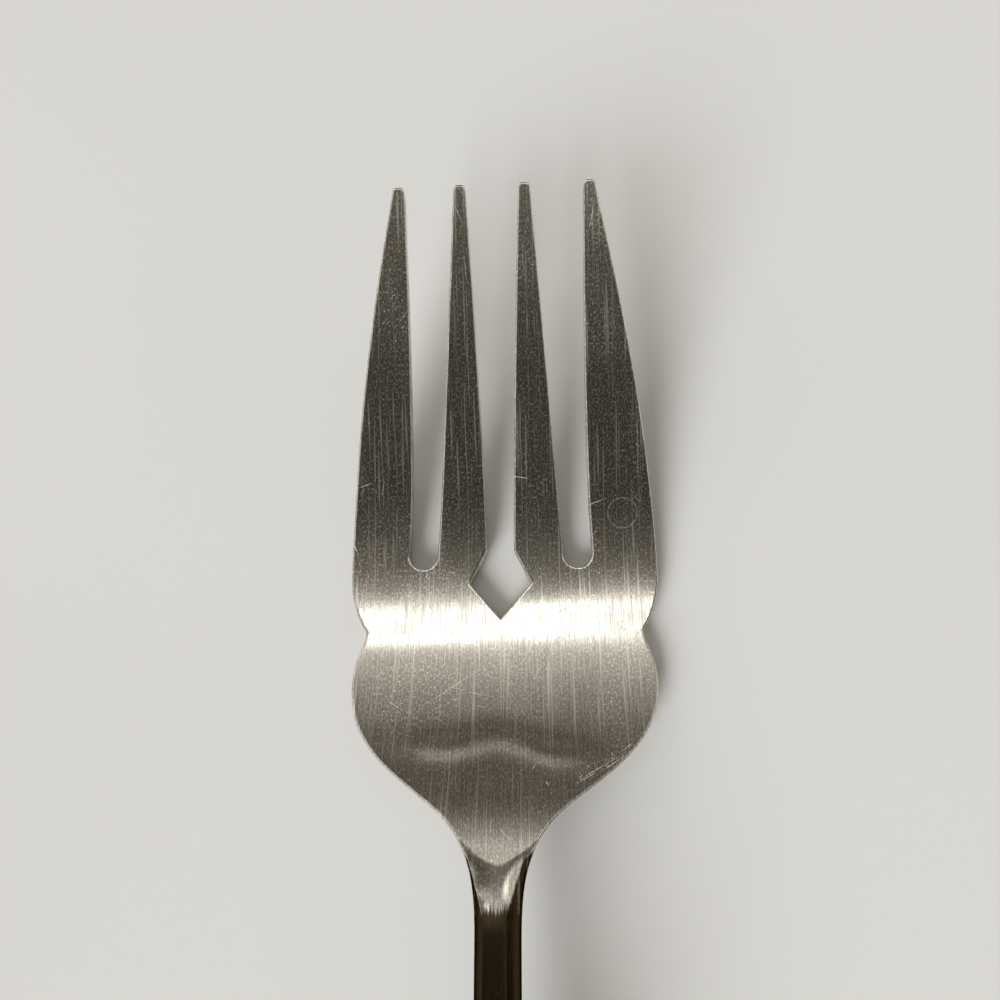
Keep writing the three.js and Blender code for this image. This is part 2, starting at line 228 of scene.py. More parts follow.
class ForkFinishes(bpy.types.PropertyGroup):
    """Colours and wear of the metals and of the cement, and the colour painted on the shank as shade."""

    head_colour: colour("Head", "Steel of the head", (0.62, 0.595, 0.54))
    handle_colour: colour("Handle", "Steel of the handle", (0.64, 0.615, 0.565))
    ferrule_colour: colour("Ferrule", "Steel of the ferrule", (0.66, 0.635, 0.585))
    solder_colour: colour("Solder", "Silver solder in the seam", (0.72, 0.70, 0.65))
    cement_colour: colour("Cement", "Resin cement round the tang", (0.66, 0.62, 0.54))
    # Painted shade: near-black colour laid on the shank and the neck's sides, standing in for shadow and
    # dark reflection
    shank_painted_shade: colour("Shank", "Darkened steel of the shank", (0.042, 0.031, 0.017))
    stain_colour: colour("Stain", "Tint of old handling on the steel", (0.50, 0.46, 0.41))
    head_roughness: share("Head roughness", "Roughness of the head's brushed face", 0.14)
    handle_roughness: share("Handle roughness", "Roughness of the handle's brushed face", 0.24)
    ferrule_roughness: share("Ferrule roughness", "Roughness of the turned ferrule", 0.18)


class ForkStageSizes(bpy.types.PropertyGroup):
    """Floor, lamps and camera."""

    floor_colour: colour("Floor", "Pale floor", (0.70, 0.70, 0.69))
    floor_size: FloatProperty(
        name="Floor size", description="Side of the floor", default=60.0, unit="LENGTH"
    )
    floor_drop: length("Floor drop", "Gap between the floor and the fork's rests", 0.05)
    strip_length: length("Strip length", "Length of the overhead strip lamp", 2600.0)
    strip_width: length("Strip width", "Width of the overhead strip lamp", 40.0)
    strip_height: length("Strip height", "Height of the strip lamp", 3000.0)
    strip_place: length("Strip place", "How far the strip stands towards the tines", 445.0)
    strip_turn: angle("Strip turn", "Turn of the strip about the vertical", -4.5)
    strip_power: FloatProperty(
        name="Strip power", description="Power of the strip lamp", default=5.2, unit="POWER"
    )
    strip_colour: colour("Strip colour", "Slightly warm light of the strip", (1.0, 0.985, 0.96))
    fill_strength: number("Fill strength", "Strength of the broad lamp behind the handle", 3.8)
    fill_spread: angle("Fill spread", "Angle that the broad lamp fills", 32.0)
    fill_tilt: angle("Fill tilt", "Angle of the broad lamp from the vertical", 64.0)
    fill_turn: angle("Fill turn", "Turn of the broad lamp about the vertical", -30.0)
    camera_place: FloatVectorProperty(
        name="Camera place",
        description="Where the camera stands",
        default=(0.00565, -0.01451, 0.10023),
        subtype="TRANSLATION",
        size=3,
    )
    camera_turn: FloatVectorProperty(
        name="Camera turn",
        description="Tilt, roll and heading of the camera",
        default=tuple(math.radians(turn) for turn in (18.52, 3.38, -0.17)),
        subtype="EULER",
        size=3,
    )
    lens: FloatProperty(
        name="Lens", description="Focal length for a 36 mm wide sensor", default=26.17, unit="CAMERA"
    )


def smooth(value):
    """Eases from 0 to 1 as the value goes from 0 to 1."""
    held = np.clip(value, 0, 1)
    return held * held * (3 - 2 * held)


def mix(low, high, part):
    return low + (high - low) * part


def bezier(points, steps):
    """Points along a Bezier curve, without the first one."""
    part = np.linspace(0, 1, steps + 1)[1:, None]
    layer = [np.array(point, float)[None, :] for point in points]
    while len(layer) > 1:
        layer = [mix(low, high, part) for low, high in zip(layer, layer[1:])]
    return layer[0]


def arc(centre, radius, start, end, steps):
    """Points along an arc, without the first one."""
    turn = np.linspace(start, end, steps + 1)[1:]
    return np.stack([centre[0] + radius * np.cos(turn), centre[1] + radius * np.sin(turn)], axis=1)


def plate_top(head, y):
    """Height of the plate's upper face above the table, and the cosine of its slope."""
    forward = y > 0
    bend = np.where(forward, head.tine_bend, head.spade_bend)
    limit = np.where(forward, head.tine_angle, head.spade_angle)
    run = np.maximum(0, np.where(forward, y - head.heel_front, -y - head.heel_back))
    turn = np.minimum(limit, np.arcsin(np.minimum(1, run / bend)))
    straight = run - bend * np.sin(turn)
    height = head.plate_thickness + bend * (1 - np.cos(turn)) + straight * np.tan(turn)
    ease_length = head.ease_place - head.level_place
    eased = np.clip((head.ease_place - y) / ease_length, 0, 1)
    past = np.maximum(0, head.level_place - y)
    drop = math.tan(head.spade_angle) - math.tan(head.tongue_angle)
    height = height - drop * (ease_length * eased**2 / 2 + past)
    return height, np.cos(turn)


def spine_height(head, handle, y):
    """Height of the centre line of the neck, shank and handle."""
    start = head.neck_start
    third = (start - handle.rest_place) / 3
    rest = handle.grip_thickness / 2 - handle.rest_flat
    layer = [
        head.neck_height,
        head.neck_height + third * math.tan(head.neck_angle),
        rest + third * math.tan(handle.rest_slope),
        rest,
    ]
    part = (start - y) / (start - handle.rest_place)
    while len(layer) > 1:
        layer = [mix(low, high, part) for low, high in zip(layer, layer[1:])]
    return layer[0]


# Steps along the outline's curves
CURVE_STEPS = 40
NOTCH_STEPS = 24
ARC_STEPS = 20
TIP_STEPS = 4
# Where the curves' handles lie, as shares of the way between the places that they join
THROAT_PULL = 0.57
FOOT_PULL = 0.9
NOTCH_LOW_PULL = 0.5
NOTCH_HIGH_PULL = 0.75
TINE_PULL = 0.65
RIDGE_PULL = 0.37


def flank_curve(head):
    """Right flank of the head from the shank up to the outer tine's tip, as points."""
    lobe = head.lobe_width / 2
    notch = lobe - head.notch_depth
    spade = head.spade_width / 2
    foot = np.array((head.foot_width / 2, head.foot_place))
    aim = np.array((head.throat_width / 2, head.throat_place))
    neck = (head.neck_width / 2, head.neck_place)
    throat = (head.neck_width / 2, mix(head.neck_place, head.throat_place, THROAT_PULL))
    foot_lead = (1 + FOOT_PULL) * foot - FOOT_PULL * aim
    spade_lead = (spade, head.spade_place - head.spade_fullness)
    spade_side = (spade, head.spade_place)
    notch_low = (spade, mix(head.spade_place, head.notch_place, NOTCH_LOW_PULL))
    notch_high = (notch, mix(head.spade_place, head.notch_place, NOTCH_HIGH_PULL))
    rise = head.lobe_place - head.notch_place
    radius = (head.notch_depth**2 + rise**2) / (2 * head.notch_depth)
    tip = (head.outer_tip + head.tip_width / 2, head.tine_reach - head.tip_rounding)
    return np.concatenate([
        np.array([(head.shank_width / 2, head.shoulder), neck]),
        bezier((neck, throat, aim, foot), CURVE_STEPS),
        bezier((foot, foot_lead, spade_lead, spade_side), CURVE_STEPS),
        bezier((spade_side, notch_low, notch_high, (notch, head.notch_place)), NOTCH_STEPS),
        arc((lobe - radius, head.lobe_place), radius, -math.asin(rise / radius), 0, ARC_STEPS),
        bezier(((lobe, head.lobe_place), (lobe, head.lobe_place + head.flank_bow), tip), CURVE_STEPS),
    ])


def tine_tip(head, offset):
    """Rounded tip of a tine, from its right corner to its left one."""
    corner = head.tine_reach - head.tip_rounding
    half = head.tip_width / 2
    end = head.tip_end / 2
    right = bezier(((half, corner), (half, head.tine_reach), (end, head.tine_reach)), TIP_STEPS)
    left = right[::-1] * np.array((-1, 1))
    return np.concatenate([right, left, [(-half, corner)]]) + np.array((offset, 0))


def half_outline(head, hand):
    """One half of the plate's outline, seen as the right one, from the plate's end to the diamond."""
    flank = flank_curve(head)
    above_foot = smooth((flank[:, 1] - head.foot_place) / (head.spade_place - head.foot_place))
    above_lobe = smooth((flank[:, 1] - head.lobe_place) / (head.tine_reach - head.lobe_place))
    flank[:, 0] += hand * above_foot * mix(head.flank_lean, head.tip_lean, above_lobe)
    above = flank[flank[:, 1] > head.plate_end + head.edge_round]
    end = (flank_width(head, head.plate_end), head.plate_end)
    corner = head.tine_reach - head.tip_rounding
    half = head.tip_width / 2
    outer_tip = head.outer_tip + hand * head.tip_lean
    radius = head.slot_width / 2
    slot = (head.slot_offset, head.slot_bottom + radius)
    slot_side = (slot[0] + radius, slot[1])
    centre_side = (head.centre_slot / 2, head.diamond_top)
    bow_place = mix(corner, slot[1], TINE_PULL)
    outer_bow = (mix(outer_tip - half, slot_side[0], TINE_PULL) - head.outer_bow, bow_place)
    inner_bow = (mix(head.inner_tip - half, centre_side[0], TINE_PULL) - head.inner_bow, bow_place)
    return np.concatenate([
        [end],
        above,
        tine_tip(head, outer_tip),
        bezier(((outer_tip - half, corner), outer_bow, slot_side), ARC_STEPS),
        arc(slot, radius, 0, -math.pi, ARC_STEPS),
        [(head.inner_tip + half, corner)],
        tine_tip(head, head.inner_tip),
        bezier(((head.inner_tip - half, corner), inner_bow, centre_side), ARC_STEPS),
        [(head.diamond_width / 2, head.diamond_middle), (0, head.diamond_bottom)],
    ])


def flank_width(head, y):
    """Half the head's width at places below the tines."""
    flank = flank_curve(head)
    return np.interp(y, flank[:, 1], flank[:, 0])


def stretch(start, end, step):
    """Evenly spaced places from start up to, but without, end."""
    steps = max(1, round(abs(end - start) / step))
    return np.linspace(start, end, steps + 1)[:-1]


def start_piece(name):
    """Names the new primitive and opens it for editing."""
    piece = bpy.context.object
    piece.name = name
    piece.data.name = name
    bpy.ops.object.mode_set(mode="EDIT")
    return piece


def clear_selection():
    bpy.ops.object.select_all(action="DESELECT")


def select_where(piece, kind, test):
    """Selects the vertices, edges or faces that pass a test."""
    bpy.ops.mesh.select_mode(type=kind)
    bpy.ops.mesh.select_all(action="DESELECT")
    mesh = bmesh.from_edit_mesh(piece.data)
    parts = {"VERT": mesh.verts, "EDGE": mesh.edges, "FACE": mesh.faces}[kind]
    for part in parts:
        if test(part):
            part.select_set(True)
    mesh.select_flush_mode()
    bmesh.update_edit_mesh(piece.data)


def place_vertices(piece, places):
    """Moves all vertices of a piece to new places, in object mode."""
    piece.data.vertices.foreach_set("co", np.asarray(places, np.float32).ravel())
    piece.data.update()


def vertex_places(piece):
    places = np.empty(len(piece.data.vertices) * 3, np.float32)
    piece.data.vertices.foreach_get("co", places)
    return places.reshape(-1, 3).astype(float)


def bisect_all(place, normal):
    bpy.ops.mesh.select_all(action="SELECT")
    bpy.ops.mesh.bisect(plane_co=place, plane_no=normal)


def close_piece(piece, smooth_angle, material, slot, *nodes):
    """Leaves edit mode, shades the piece and ties it to the frame."""
    bpy.ops.mesh.select_all(action="SELECT")
    bpy.ops.mesh.remove_doubles(threshold=MERGED)
    bpy.ops.mesh.normals_make_consistent(inside=False)
    bpy.ops.object.mode_set(mode="OBJECT")
    bpy.ops.object.shade_smooth_by_angle(angle=smooth_angle)
    piece.data.materials.clear()
    piece.data.materials.append(material)
    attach(piece, BODY)
    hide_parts(*nodes)


EDGE_SEGMENTS = 4
EDGE_LEVELS = (0.35, 0.5, 0.65)
LEVEL_FACE = 0.999


def head_blank(head):
    """Flat blank of the head: outline, thickness, rounded edges and the cuts that let it bend."""
    right = half_outline(head, 1)
    left = half_outline(head, -1)[-2::-1] * np.array((-1, 1))
    outline = np.concatenate([right, left])
    bpy.ops.mesh.primitive_circle_add(vertices=len(outline), fill_type="NGON")
    blank = bpy.context.object
    place_vertices(blank, np.column_stack([outline, np.zeros(len(outline))]))
    start_piece("fork_head_forging")
    bpy.ops.mesh.select_all(action="SELECT")
    bpy.ops.mesh.extrude_region_move(TRANSFORM_OT_translate={"value": (0, 0, -head.plate_thickness)})
    bpy.ops.mesh.select_all(action="SELECT")
    bpy.ops.mesh.normals_make_consistent(inside=False)
    round_blank_edges(blank, head)
    for x in blank_columns(head):
        bisect_all((x, 0, 0), (1, 0, 0))
    for y in blank_rows(head):
        bisect_all((0, y, 0), (0, 1, 0))
    for level in EDGE_LEVELS:
        bisect_all((0, 0, -level * head.plate_thickness), (0, 0, 1))
    return blank


def round_blank_edges(blank, head):
    """Rounds both faces' edges, except across the plate's end, and lays a narrow land beside them."""

    def rim(edge):
        low, high = (vert.co for vert in edge.verts)
        level = abs(low.z - high.z) < NEAR
        at_end = max(low.y, high.y) < head.plate_end + NEAR
        return level and not at_end

    select_where(blank, "EDGE", rim)
    bpy.ops.mesh.bevel(
        offset=head.edge_round, offset_type="OFFSET", segments=EDGE_SEGMENTS, affect="EDGES",
        clamp_overlap=False,
    )
    select_where(blank, "FACE", lambda face: abs(face.normal.z) > LEVEL_FACE)
    bpy.ops.mesh.inset(thickness=head.edge_land, use_boundary=True, use_even_offset=True)


# Cuts along the neck, as shares of its half width, and the one that becomes a ridge
NECK_COLUMNS = (0.16, 0.32, 0.48, 0.6, 0.7, 0.76, 0.8, 0.84, 0.9)
RIDGE_COLUMN = 0.8
# Spacing of the other cuts and of the rings
COLUMN_GAP = 1.5 * MM
COLUMN_STEP = 2.5 * MM
SPADE_STEP = 0.6 * MM
HEEL_STEP = 0.3 * MM
TINE_BEND_STEP = 0.4 * MM
TINE_STEP = 1.5 * MM
TONGUE_STEP = 0.15 * MM
THROAT_STEP = 0.5 * MM
SHANK_STEP = 1.0 * MM
SHOULDER_STEP = 0.02 * MM
# Valley and peak of a barb, as shares of the pitch
BARB_VALLEY = 0.3
BARB_PEAK = 0.8


def blank_columns(head):
    """Places of the lengthwise cuts: close over the neck's end, wider over the lobes."""
    half = flank_width(head, head.plate_end)
    inner = half * np.array(NECK_COLUMNS)
    outer = stretch(half + COLUMN_GAP, head.lobe_width / 2, COLUMN_STEP)
    right = np.concatenate([inner, [head.slot_offset], outer])
    return np.concatenate([-right, [0], right])


def blank_rows(head):
    """Places of the crosswise cuts: close along the bends, wider along the tines."""
    spade_turn = -head.heel_back - head.spade_bend * math.sin(head.spade_angle)
    tine_turn = head.heel_front + head.tine_bend * math.sin(head.tine_angle)
    return np.concatenate([
        stretch(head.plate_end, spade_turn, SPADE_STEP)[1:],
        stretch(spade_turn, -head.heel_back, HEEL_STEP),
        stretch(-head.heel_back, head.heel_front, HEEL_STEP),
        stretch(head.heel_front, tine_turn, TINE_BEND_STEP),
        stretch(tine_turn, head.tine_reach - head.tip_rounding, TINE_STEP),
    ])


def neck_rows(head):
    """Places of the rings behind the plate: close round the tongue, then down the shank and tang."""
    places = np.concatenate([
        stretch(head.plate_end, head.ramp_end, TONGUE_STEP),
        stretch(head.ramp_end, head.neck_place, THROAT_STEP),
        stretch(head.neck_place, head.shoulder, SHANK_STEP),
        [head.shoulder, head.shoulder - SHOULDER_STEP, head.tang_root],
        [place for pair in barb_places(head) for place in pair],
        [head.tang_end],
    ])
    return places[1:]


def barb_places(head):
    """Valley and peak of each barb along the tang."""
    pitch = (head.tang_root - head.tang_end) / head.barb_count
    return [
        (head.tang_root - pitch * (i + BARB_VALLEY), head.tang_root - pitch * (i + BARB_PEAK))
        for i in range(head.barb_count)
    ]


def draw_out_neck(blank, head):
    """Draws the neck, shank and tang out of the plate's end as a straight bar of rings."""

    def at_end(part):
        return max(vert.co.y for vert in part.verts) < head.plate_end + NEAR

    select_where(blank, "FACE", at_end)
    bpy.ops.mesh.delete(type="FACE")
    select_where(blank, "EDGE", at_end)
    place = head.plate_end
    for y in neck_rows(head):
        bpy.ops.mesh.extrude_region_move(TRANSFORM_OT_translate={"value": (0, y - place, 0)})
        place = y
    bpy.ops.mesh.edge_face_add()


def forge_plate(head, flat):
    """Bends the flat blank: each point rises with the plate's upper face."""
    x, y, depth = flat.T
    height, slope = plate_top(head, y)
    reach = np.clip((y - head.heel_front) / (head.tine_reach - head.heel_front), 0, 1)
    thin = mix(1, head.tip_thickness / head.plate_thickness, reach)
    return np.column_stack([x, y, height + depth * thin / slope + fold_rise(head, x, y)])


def fold_rise(head, x, y):
    """Height of the soft fold that arches across the spade."""
    side = np.abs(x)
    line = head.fold_place - head.fold_sag * smooth(side / head.fold_reach) - head.fold_lean * x
    fade = 1 - smooth((side - head.fold_reach) / head.fold_reach)
    height = head.fold_height * mix(1, head.fold_growth, smooth(side / head.fold_reach))
    return height * fade * np.exp(-((y - line) / head.fold_width) ** 2)


def ridge_offset(head, y, width):
    """Half the distance between the two ridges, which leave the head's edge at the shoulders."""
    rim = flank_width(head, head.ridge_place) - head.edge_round
    curve = bezier((
        (rim, head.ridge_place),
        (head.ridge_middle, mix(head.ridge_place, head.ramp_end, RIDGE_PULL)),
        (head.ridge_end, head.ramp_end),
    ), CURVE_STEPS)
    ridge = np.interp(y, curve[::-1, 1], curve[::-1, 0])
    edge = width - head.edge_round
    return np.where(y > head.ridge_place, edge, np.minimum(ridge, edge))


def tongue_back(head, offset):
    """How far the tongue's rim lies back from its bottom, at an offset from the middle."""
    offset = np.minimum(np.abs(offset), head.tongue_half)
    rounded = np.sqrt(offset**2 + head.tongue_round**2) - head.tongue_round
    return math.tan(head.tongue_sweep) * rounded


def tongue_drop(head, back):
    """How far the tongue's rim lies below its bottom, where it lies back from it."""
    bottom = np.full(np.shape(back), head.tongue_place)
    return plate_top(head, bottom)[0] - plate_top(head, bottom + back)[0]


def neck_centre_top(head, handle, row):
    """Height of the neck's top along its middle: tongue, ramp of the hollow, then the shank's back."""
    plate = plate_top(head, row)[0]
    tongue = plate_top(head, np.array(head.tongue_place))[0]
    ramp = tongue + math.tan(head.ramp_angle) * (head.tongue_place - row)
    swell = np.maximum(0, 1 - (head.hump_place - row) / head.hump_run)
    towards_ferrule = smooth((head.neck_place - row) / (head.neck_place - head.shoulder))
    back = mix(head.shank_back, head.shank_thickness / 2, towards_ferrule)
    shank = spine_height(head, handle, row) + back + head.hump * swell**2
    part = np.clip(0.5 + (shank - ramp) / (2 * head.ramp_round), 0, 1)
    eased = mix(shank, ramp, part) - head.ramp_round * part * (1 - part)
    return np.where(row > head.tongue_place, plate, eased)


SWEEP_ROUNDS = 40
UNDERSIDE_FLAT = 0.6
# Share of painted shade, standing in for shadow, on the neck's sides beyond the ridges
FLANK_PAINTED_SHADE = 0.8


def sweep_rings(head, across, row):
    """Lays the rings back along the tongue's rim: their places, the rim's way back and the share of it."""
    before = np.clip((head.plate_end - row) / (head.plate_end - head.tongue_place), 0, 1)
    behind = np.clip(1 - ((row - head.tongue_place) / head.tongue_fade) ** 2, 0, 1) ** 2
    fade = np.where(row > head.tongue_place, before, behind)
    y = row.copy()
    for _ in range(SWEEP_ROUNDS):
        back = tongue_back(head, across * flank_width(head, y))
        y = row + fade * back
    return y, back, fade


def neck_middle(head, handle, row, y):
    """Heights of the neck's middle and of its underside."""
    swell = smooth((head.plate_end - row) / (head.plate_end - head.swell_end))
    plate_half = head.plate_thickness / (2 * math.cos(head.spade_angle))
    half_thick = mix(plate_half, head.shank_thickness / 2, swell)
    plate_middle = plate_top(head, y)[0] - plate_half
    onto_spine = smooth((head.plate_end - row) / (head.plate_end - head.tongue_place))
    middle = mix(plate_middle, spine_height(head, handle, y), onto_spine)
    return middle, middle - half_thick


def ridge_rise(head, row, towards_ferrule):
    """Height of the ridges over the neck's middle."""
    down_ramp = smooth((head.tongue_place - row) / (head.tongue_place - head.ramp_end))
    deepened = smooth((head.tongue_place - row) / head.rim_run)
    rise = deepened * mix(head.hollow_rim, head.shank_rim, down_ramp**2)
    return mix(rise, -head.shank_crown, towards_ferrule)


def forge_neck(head, handle, flat):
    """Places of the neck's and shank's points, worked from the straight bar's rings, and the painted shade
    on them.
    """
    x, row, depth = flat.T
    across = x / flank_width(head, head.plate_end)
    side = np.abs(across)
    hand = np.sign(across)
    thickness = head.plate_thickness

    y, back, fade = sweep_rings(head, across, row)
    width = flank_width(head, y)
    worked = smooth((head.ridge_place - y) / head.ridge_run)
    ridge = ridge_offset(head, y, width) - np.maximum(hand, 0) * worked * head.ridge_lean
    ridge = np.minimum(ridge, width - head.edge_round)
    middle, bottom = neck_middle(head, handle, row, y)
    towards_ferrule = smooth((head.neck_place - row) / (head.neck_place - head.shoulder))
    rise = ridge_rise(head, row, towards_ferrule)
    lean = mix(head.ridge_angle, head.shank_angle, towards_ferrule)
    centre = neck_centre_top(head, handle, row) - fade * tongue_drop(head, back)

    def top(offset):
        hollow = centre + rise * (offset / ridge) ** 2
        return np.where(row > head.tongue_place, plate_top(head, y)[0], hollow)

    beside = np.clip((side - RIDGE_COLUMN) / (1 - RIDGE_COLUMN), 0, 1)
    upper = depth > -thickness / 2
    down = np.clip(np.where(upper, -depth, thickness + depth) / (thickness / 2), 0, 1)
    turn_start = np.where(upper, lean, head.shank_angle)
    turn = mix(turn_start, math.pi / 2, (beside + down) / 2)
    out = (np.sin(turn) - np.sin(turn_start)) / (1 - np.sin(turn_start))
    up = np.cos(turn) / np.cos(turn_start)
    inner = np.where(upper, ridge, UNDERSIDE_FLAT * width)
    edge = np.where(upper, top(ridge), bottom)
    on_face = beside + down <= 0
    inner_x = side / RIDGE_COLUMN * inner
    new_x = np.where(on_face, inner_x, mix(inner, width, out))
    face_z = np.where(upper, top(inner_x), bottom)
    new_z = np.where(on_face, face_z, mix(middle, edge, up))

    plate_x = side * width
    plate_z = top(np.minimum(plate_x, ridge)) + depth / math.cos(head.spade_angle)
    places = np.column_stack([hand * mix(plate_x, new_x, worked), y, mix(plate_z, new_z, worked)])

    # Painted shade: full along the shank past its start, standing in for dark reflection, and on the sides
    # beyond the ridges, standing in for shadow
    beyond = np.minimum(1, (beside + down) / (NECK_COLUMNS[-2] - RIDGE_COLUMN) * (1 - RIDGE_COLUMN))
    along = np.clip((head.dark_start - y) / (head.dark_start - head.dark_end), 0, 1)
    return places, np.maximum(along, FLANK_PAINTED_SHADE * worked * beyond)


def forge_tang(head, handle, flat):
    """Boxy tapering rings of the barbed tang."""
    x, y, depth = flat.T
    squareness = 4
    half = flank_width(head, head.plate_end)
    turn = np.arctan2(depth / (head.plate_thickness / 2) + 1, x / half)
    part = np.clip((head.tang_root - y) / (head.tang_root - head.tang_end), 0, 1)
    size = mix(1, head.tang_taper, part)
    barb_rows = np.array([place for pair in barb_places(head) for place in pair] + [head.tang_end])
    barb_cuts = np.array([1.0, 0.0] * head.barb_count + [1.0]) * head.barb_depth
    cut = np.interp(y, barb_rows[::-1], barb_cuts[::-1])
    cut = np.where(y > head.tang_root, 0, cut)
    across = np.sign(np.cos(turn)) * np.abs(np.cos(turn)) ** (2 / squareness)
    up = np.sign(np.sin(turn)) * np.abs(np.sin(turn)) ** (2 / squareness)
    middle = spine_height(head, handle, y)
    new_x = (size * head.tang_width / 2 - cut) * across
    return np.column_stack([new_x, y, middle + size * head.tang_thickness / 2 * up])


def forge_head(blank, head, handle):
    """Moves every point of the drawn-out blank to its forged place."""
    flat = vertex_places(blank)
    places = forge_plate(head, flat)
    neck = flat[:, 1] < head.plate_end - NEAR
    tang = flat[:, 1] < head.shoulder - NEAR
    painted_shade = np.zeros(len(flat))
    places[neck], painted_shade[neck] = forge_neck(head, handle, flat[neck])
    places[tang] = forge_tang(head, handle, flat[tang])
    place_vertices(blank, places)
    # Keeps the painted shade as a point attribute for the head's steel
    layer = blank.data.attributes.new(PAINTED_SHADE, "FLOAT", "POINT")
    layer.data.foreach_set("value", painted_shade.astype(np.float32))


HANDLE_RINGS = 61
END_RINGS = 25
SHELL_SIDES = 64


def handle_sizes_at(handle, y):
    """Width and thickness of the handle at a place, closing round its end."""
    round_start = handle.end + handle.end_rounding
    swell = smooth((handle.mouth - y) / (handle.mouth - round_start))
    past = np.clip((round_start - y) / handle.end_rounding, 0, 1)
    closing = np.sqrt(np.maximum(0, 1 - past**2))
    width = mix(handle.mouth_width, handle.grip_width, swell) * closing
    thickness = mix(handle.mouth_thickness, handle.grip_thickness, swell) * closing
    return width, thickness


def handle_stations(handle):
    """Places of the handle's rings, closer round its end."""
    round_start = handle.end + handle.end_rounding
    straight = np.linspace(handle.mouth, round_start, HANDLE_RINGS)
    turns = np.linspace(0, math.pi / 2, END_RINGS)[1:]
    return np.concatenate([straight, round_start - handle.end_rounding * np.sin(turns)])


def make_shell(name, side, head, handle, material, node):
    """One struck half of the handle: a half ring drawn along the spine, then given its wall."""
    on_rim = 1e-4
    clear_selection()
    bpy.ops.mesh.primitive_circle_add(vertices=SHELL_SIDES, radius=1, rotation=(math.pi / 2, 0, 0))
    bpy.ops.object.transform_apply(location=False, rotation=True, scale=False)
    shell = start_piece(name)
    select_where(shell, "VERT", lambda vert: vert.co.z * side < -on_rim)
    bpy.ops.mesh.delete(type="VERT")
    bpy.ops.mesh.select_all(action="SELECT")
    stations = handle_stations(handle)
    rims = spine_height(head, handle, stations) + side * handle.seam / 2
    widths, thicknesses = handle_sizes_at(handle, stations)
    reaches = np.maximum(widths / 2, LEAST)
    rises = np.maximum(thicknesses / 2 - handle.seam / 2, LEAST)
    bpy.ops.transform.resize(value=(reaches[0], 1, rises[0]), center_override=(0, 0, 0))
    bpy.ops.transform.translate(value=(0, stations[0], rims[0]))
    for i in range(1, len(stations)):
        step = (0, stations[i] - stations[i - 1], rims[i] - rims[i - 1])
        bpy.ops.mesh.extrude_region_move(TRANSFORM_OT_translate={"value": step})
        grow = (reaches[i] / reaches[i - 1], 1, rises[i] / rises[i - 1])
        bpy.ops.transform.resize(value=grow, center_override=(0, stations[i], rims[i]))
    bpy.ops.object.mode_set(mode="OBJECT")
    lay_grain(shell, head, handle)
    bpy.ops.object.mode_set(mode="EDIT")
    if side < 0:
        select_where(shell, "VERT", lambda vert: vert.co.z < 0)
        bpy.ops.transform.resize(value=(1, 1, 0), center_override=(0, 0, 0))
    bpy.ops.mesh.select_all(action="SELECT")
    bpy.ops.mesh.remove_doubles(threshold=NEAR)
    face_outwards(shell, side)
    bpy.ops.object.mode_set(mode="OBJECT")
    apply_wall(shell, handle.wall)
    bpy.ops.object.mode_set(mode="EDIT")
    close_piece(shell, SHEET_CREASE, material, "handle_steel", node)


def lay_grain(shell, head, handle):
    """Notes each point's place round the section and along the handle, for the brushed grain."""
    x, y, z = vertex_places(shell).T
    width, thickness = handle_sizes_at(handle, y)
    rise = (z - spine_height(head, handle, y)) / np.maximum(thickness / 2, handle.seam)
    reach = x / np.maximum(width / 2, handle.seam)
    around = np.arctan2(rise, reach) * handle.grip_width / 2
    places = np.column_stack([around, y, np.zeros(len(y))])
    grain = shell.data.attributes.new(GRAIN, "FLOAT_VECTOR", "POINT")
    grain.data.foreach_set("vector", places.astype(np.float32).ravel())


def face_outwards(shell, side):
    """Turns an open half shell's faces away from its middle."""
    bpy.ops.mesh.select_all(action="SELECT")
    bpy.ops.mesh.normals_make_consistent(inside=False)
    mesh = bmesh.from_edit_mesh(shell.data)
    facing = sum(face.normal.z * face.calc_area() for face in mesh.faces)
    if facing * side < 0:
        bpy.ops.mesh.flip_normals()


def apply_wall(piece, thickness, offset=-1):
    """Gives an open sheet its wall."""
    modifier = piece.modifiers.new("Wall", "SOLIDIFY")
    modifier.thickness = thickness
    modifier.offset = offset
    modifier.use_even_offset = True
    bpy.ops.object.modifier_apply(modifier=modifier.name)


def make_seam(head, handle, material):
    """Ribbon of solder between the shells, up one side, round the end and down the other."""
    clear_selection()
    stations = handle_stations(handle)
    path = np.concatenate([stations, stations[-2::-1]])
    hands = np.concatenate([np.ones(len(stations)), -np.ones(len(stations) - 1)])
    bpy.ops.mesh.primitive_grid_add(x_subdivisions=1, y_subdivisions=len(path) - 1, size=2)
    ribbon = bpy.context.object
    grid = vertex_places(ribbon)
    index = np.rint((grid[:, 1] + 1) / 2 * (len(path) - 1)).astype(int)
    outer = grid[:, 0] > 0
    y = path[index]
    width = handle_sizes_at(handle, y)[0]
    round_start = handle.end + handle.end_rounding
    inner_share = (handle.end_rounding - handle.wall) / handle.end_rounding
    inner_y = np.where(y < round_start, round_start - (round_start - y) * inner_share, y)
    grip_inside = (handle.grip_width - 2 * handle.wall) / handle.grip_width
    inner_width = np.where(y < round_start, width * grip_inside, width - 2 * handle.wall)
    outer_x = width / 2 + handle.seam_proud
    places = np.column_stack([
        hands[index] * np.where(outer, outer_x, inner_width / 2),
        np.where(outer, y, inner_y),
        spine_height(head, handle, np.where(outer, y, inner_y)),
    ])
    place_vertices(ribbon, places)
    start_piece("seam_solder_ribbon")
    bpy.ops.mesh.select_all(action="SELECT")
    bpy.ops.mesh.remove_doubles(threshold=LEAST)
    bpy.ops.object.mode_set(mode="OBJECT")
    apply_wall(ribbon, handle.seam, 0)
    bpy.ops.object.mode_set(mode="EDIT")
    close_piece(ribbon, SHEET_CREASE, material, "solder", "seam_solder")


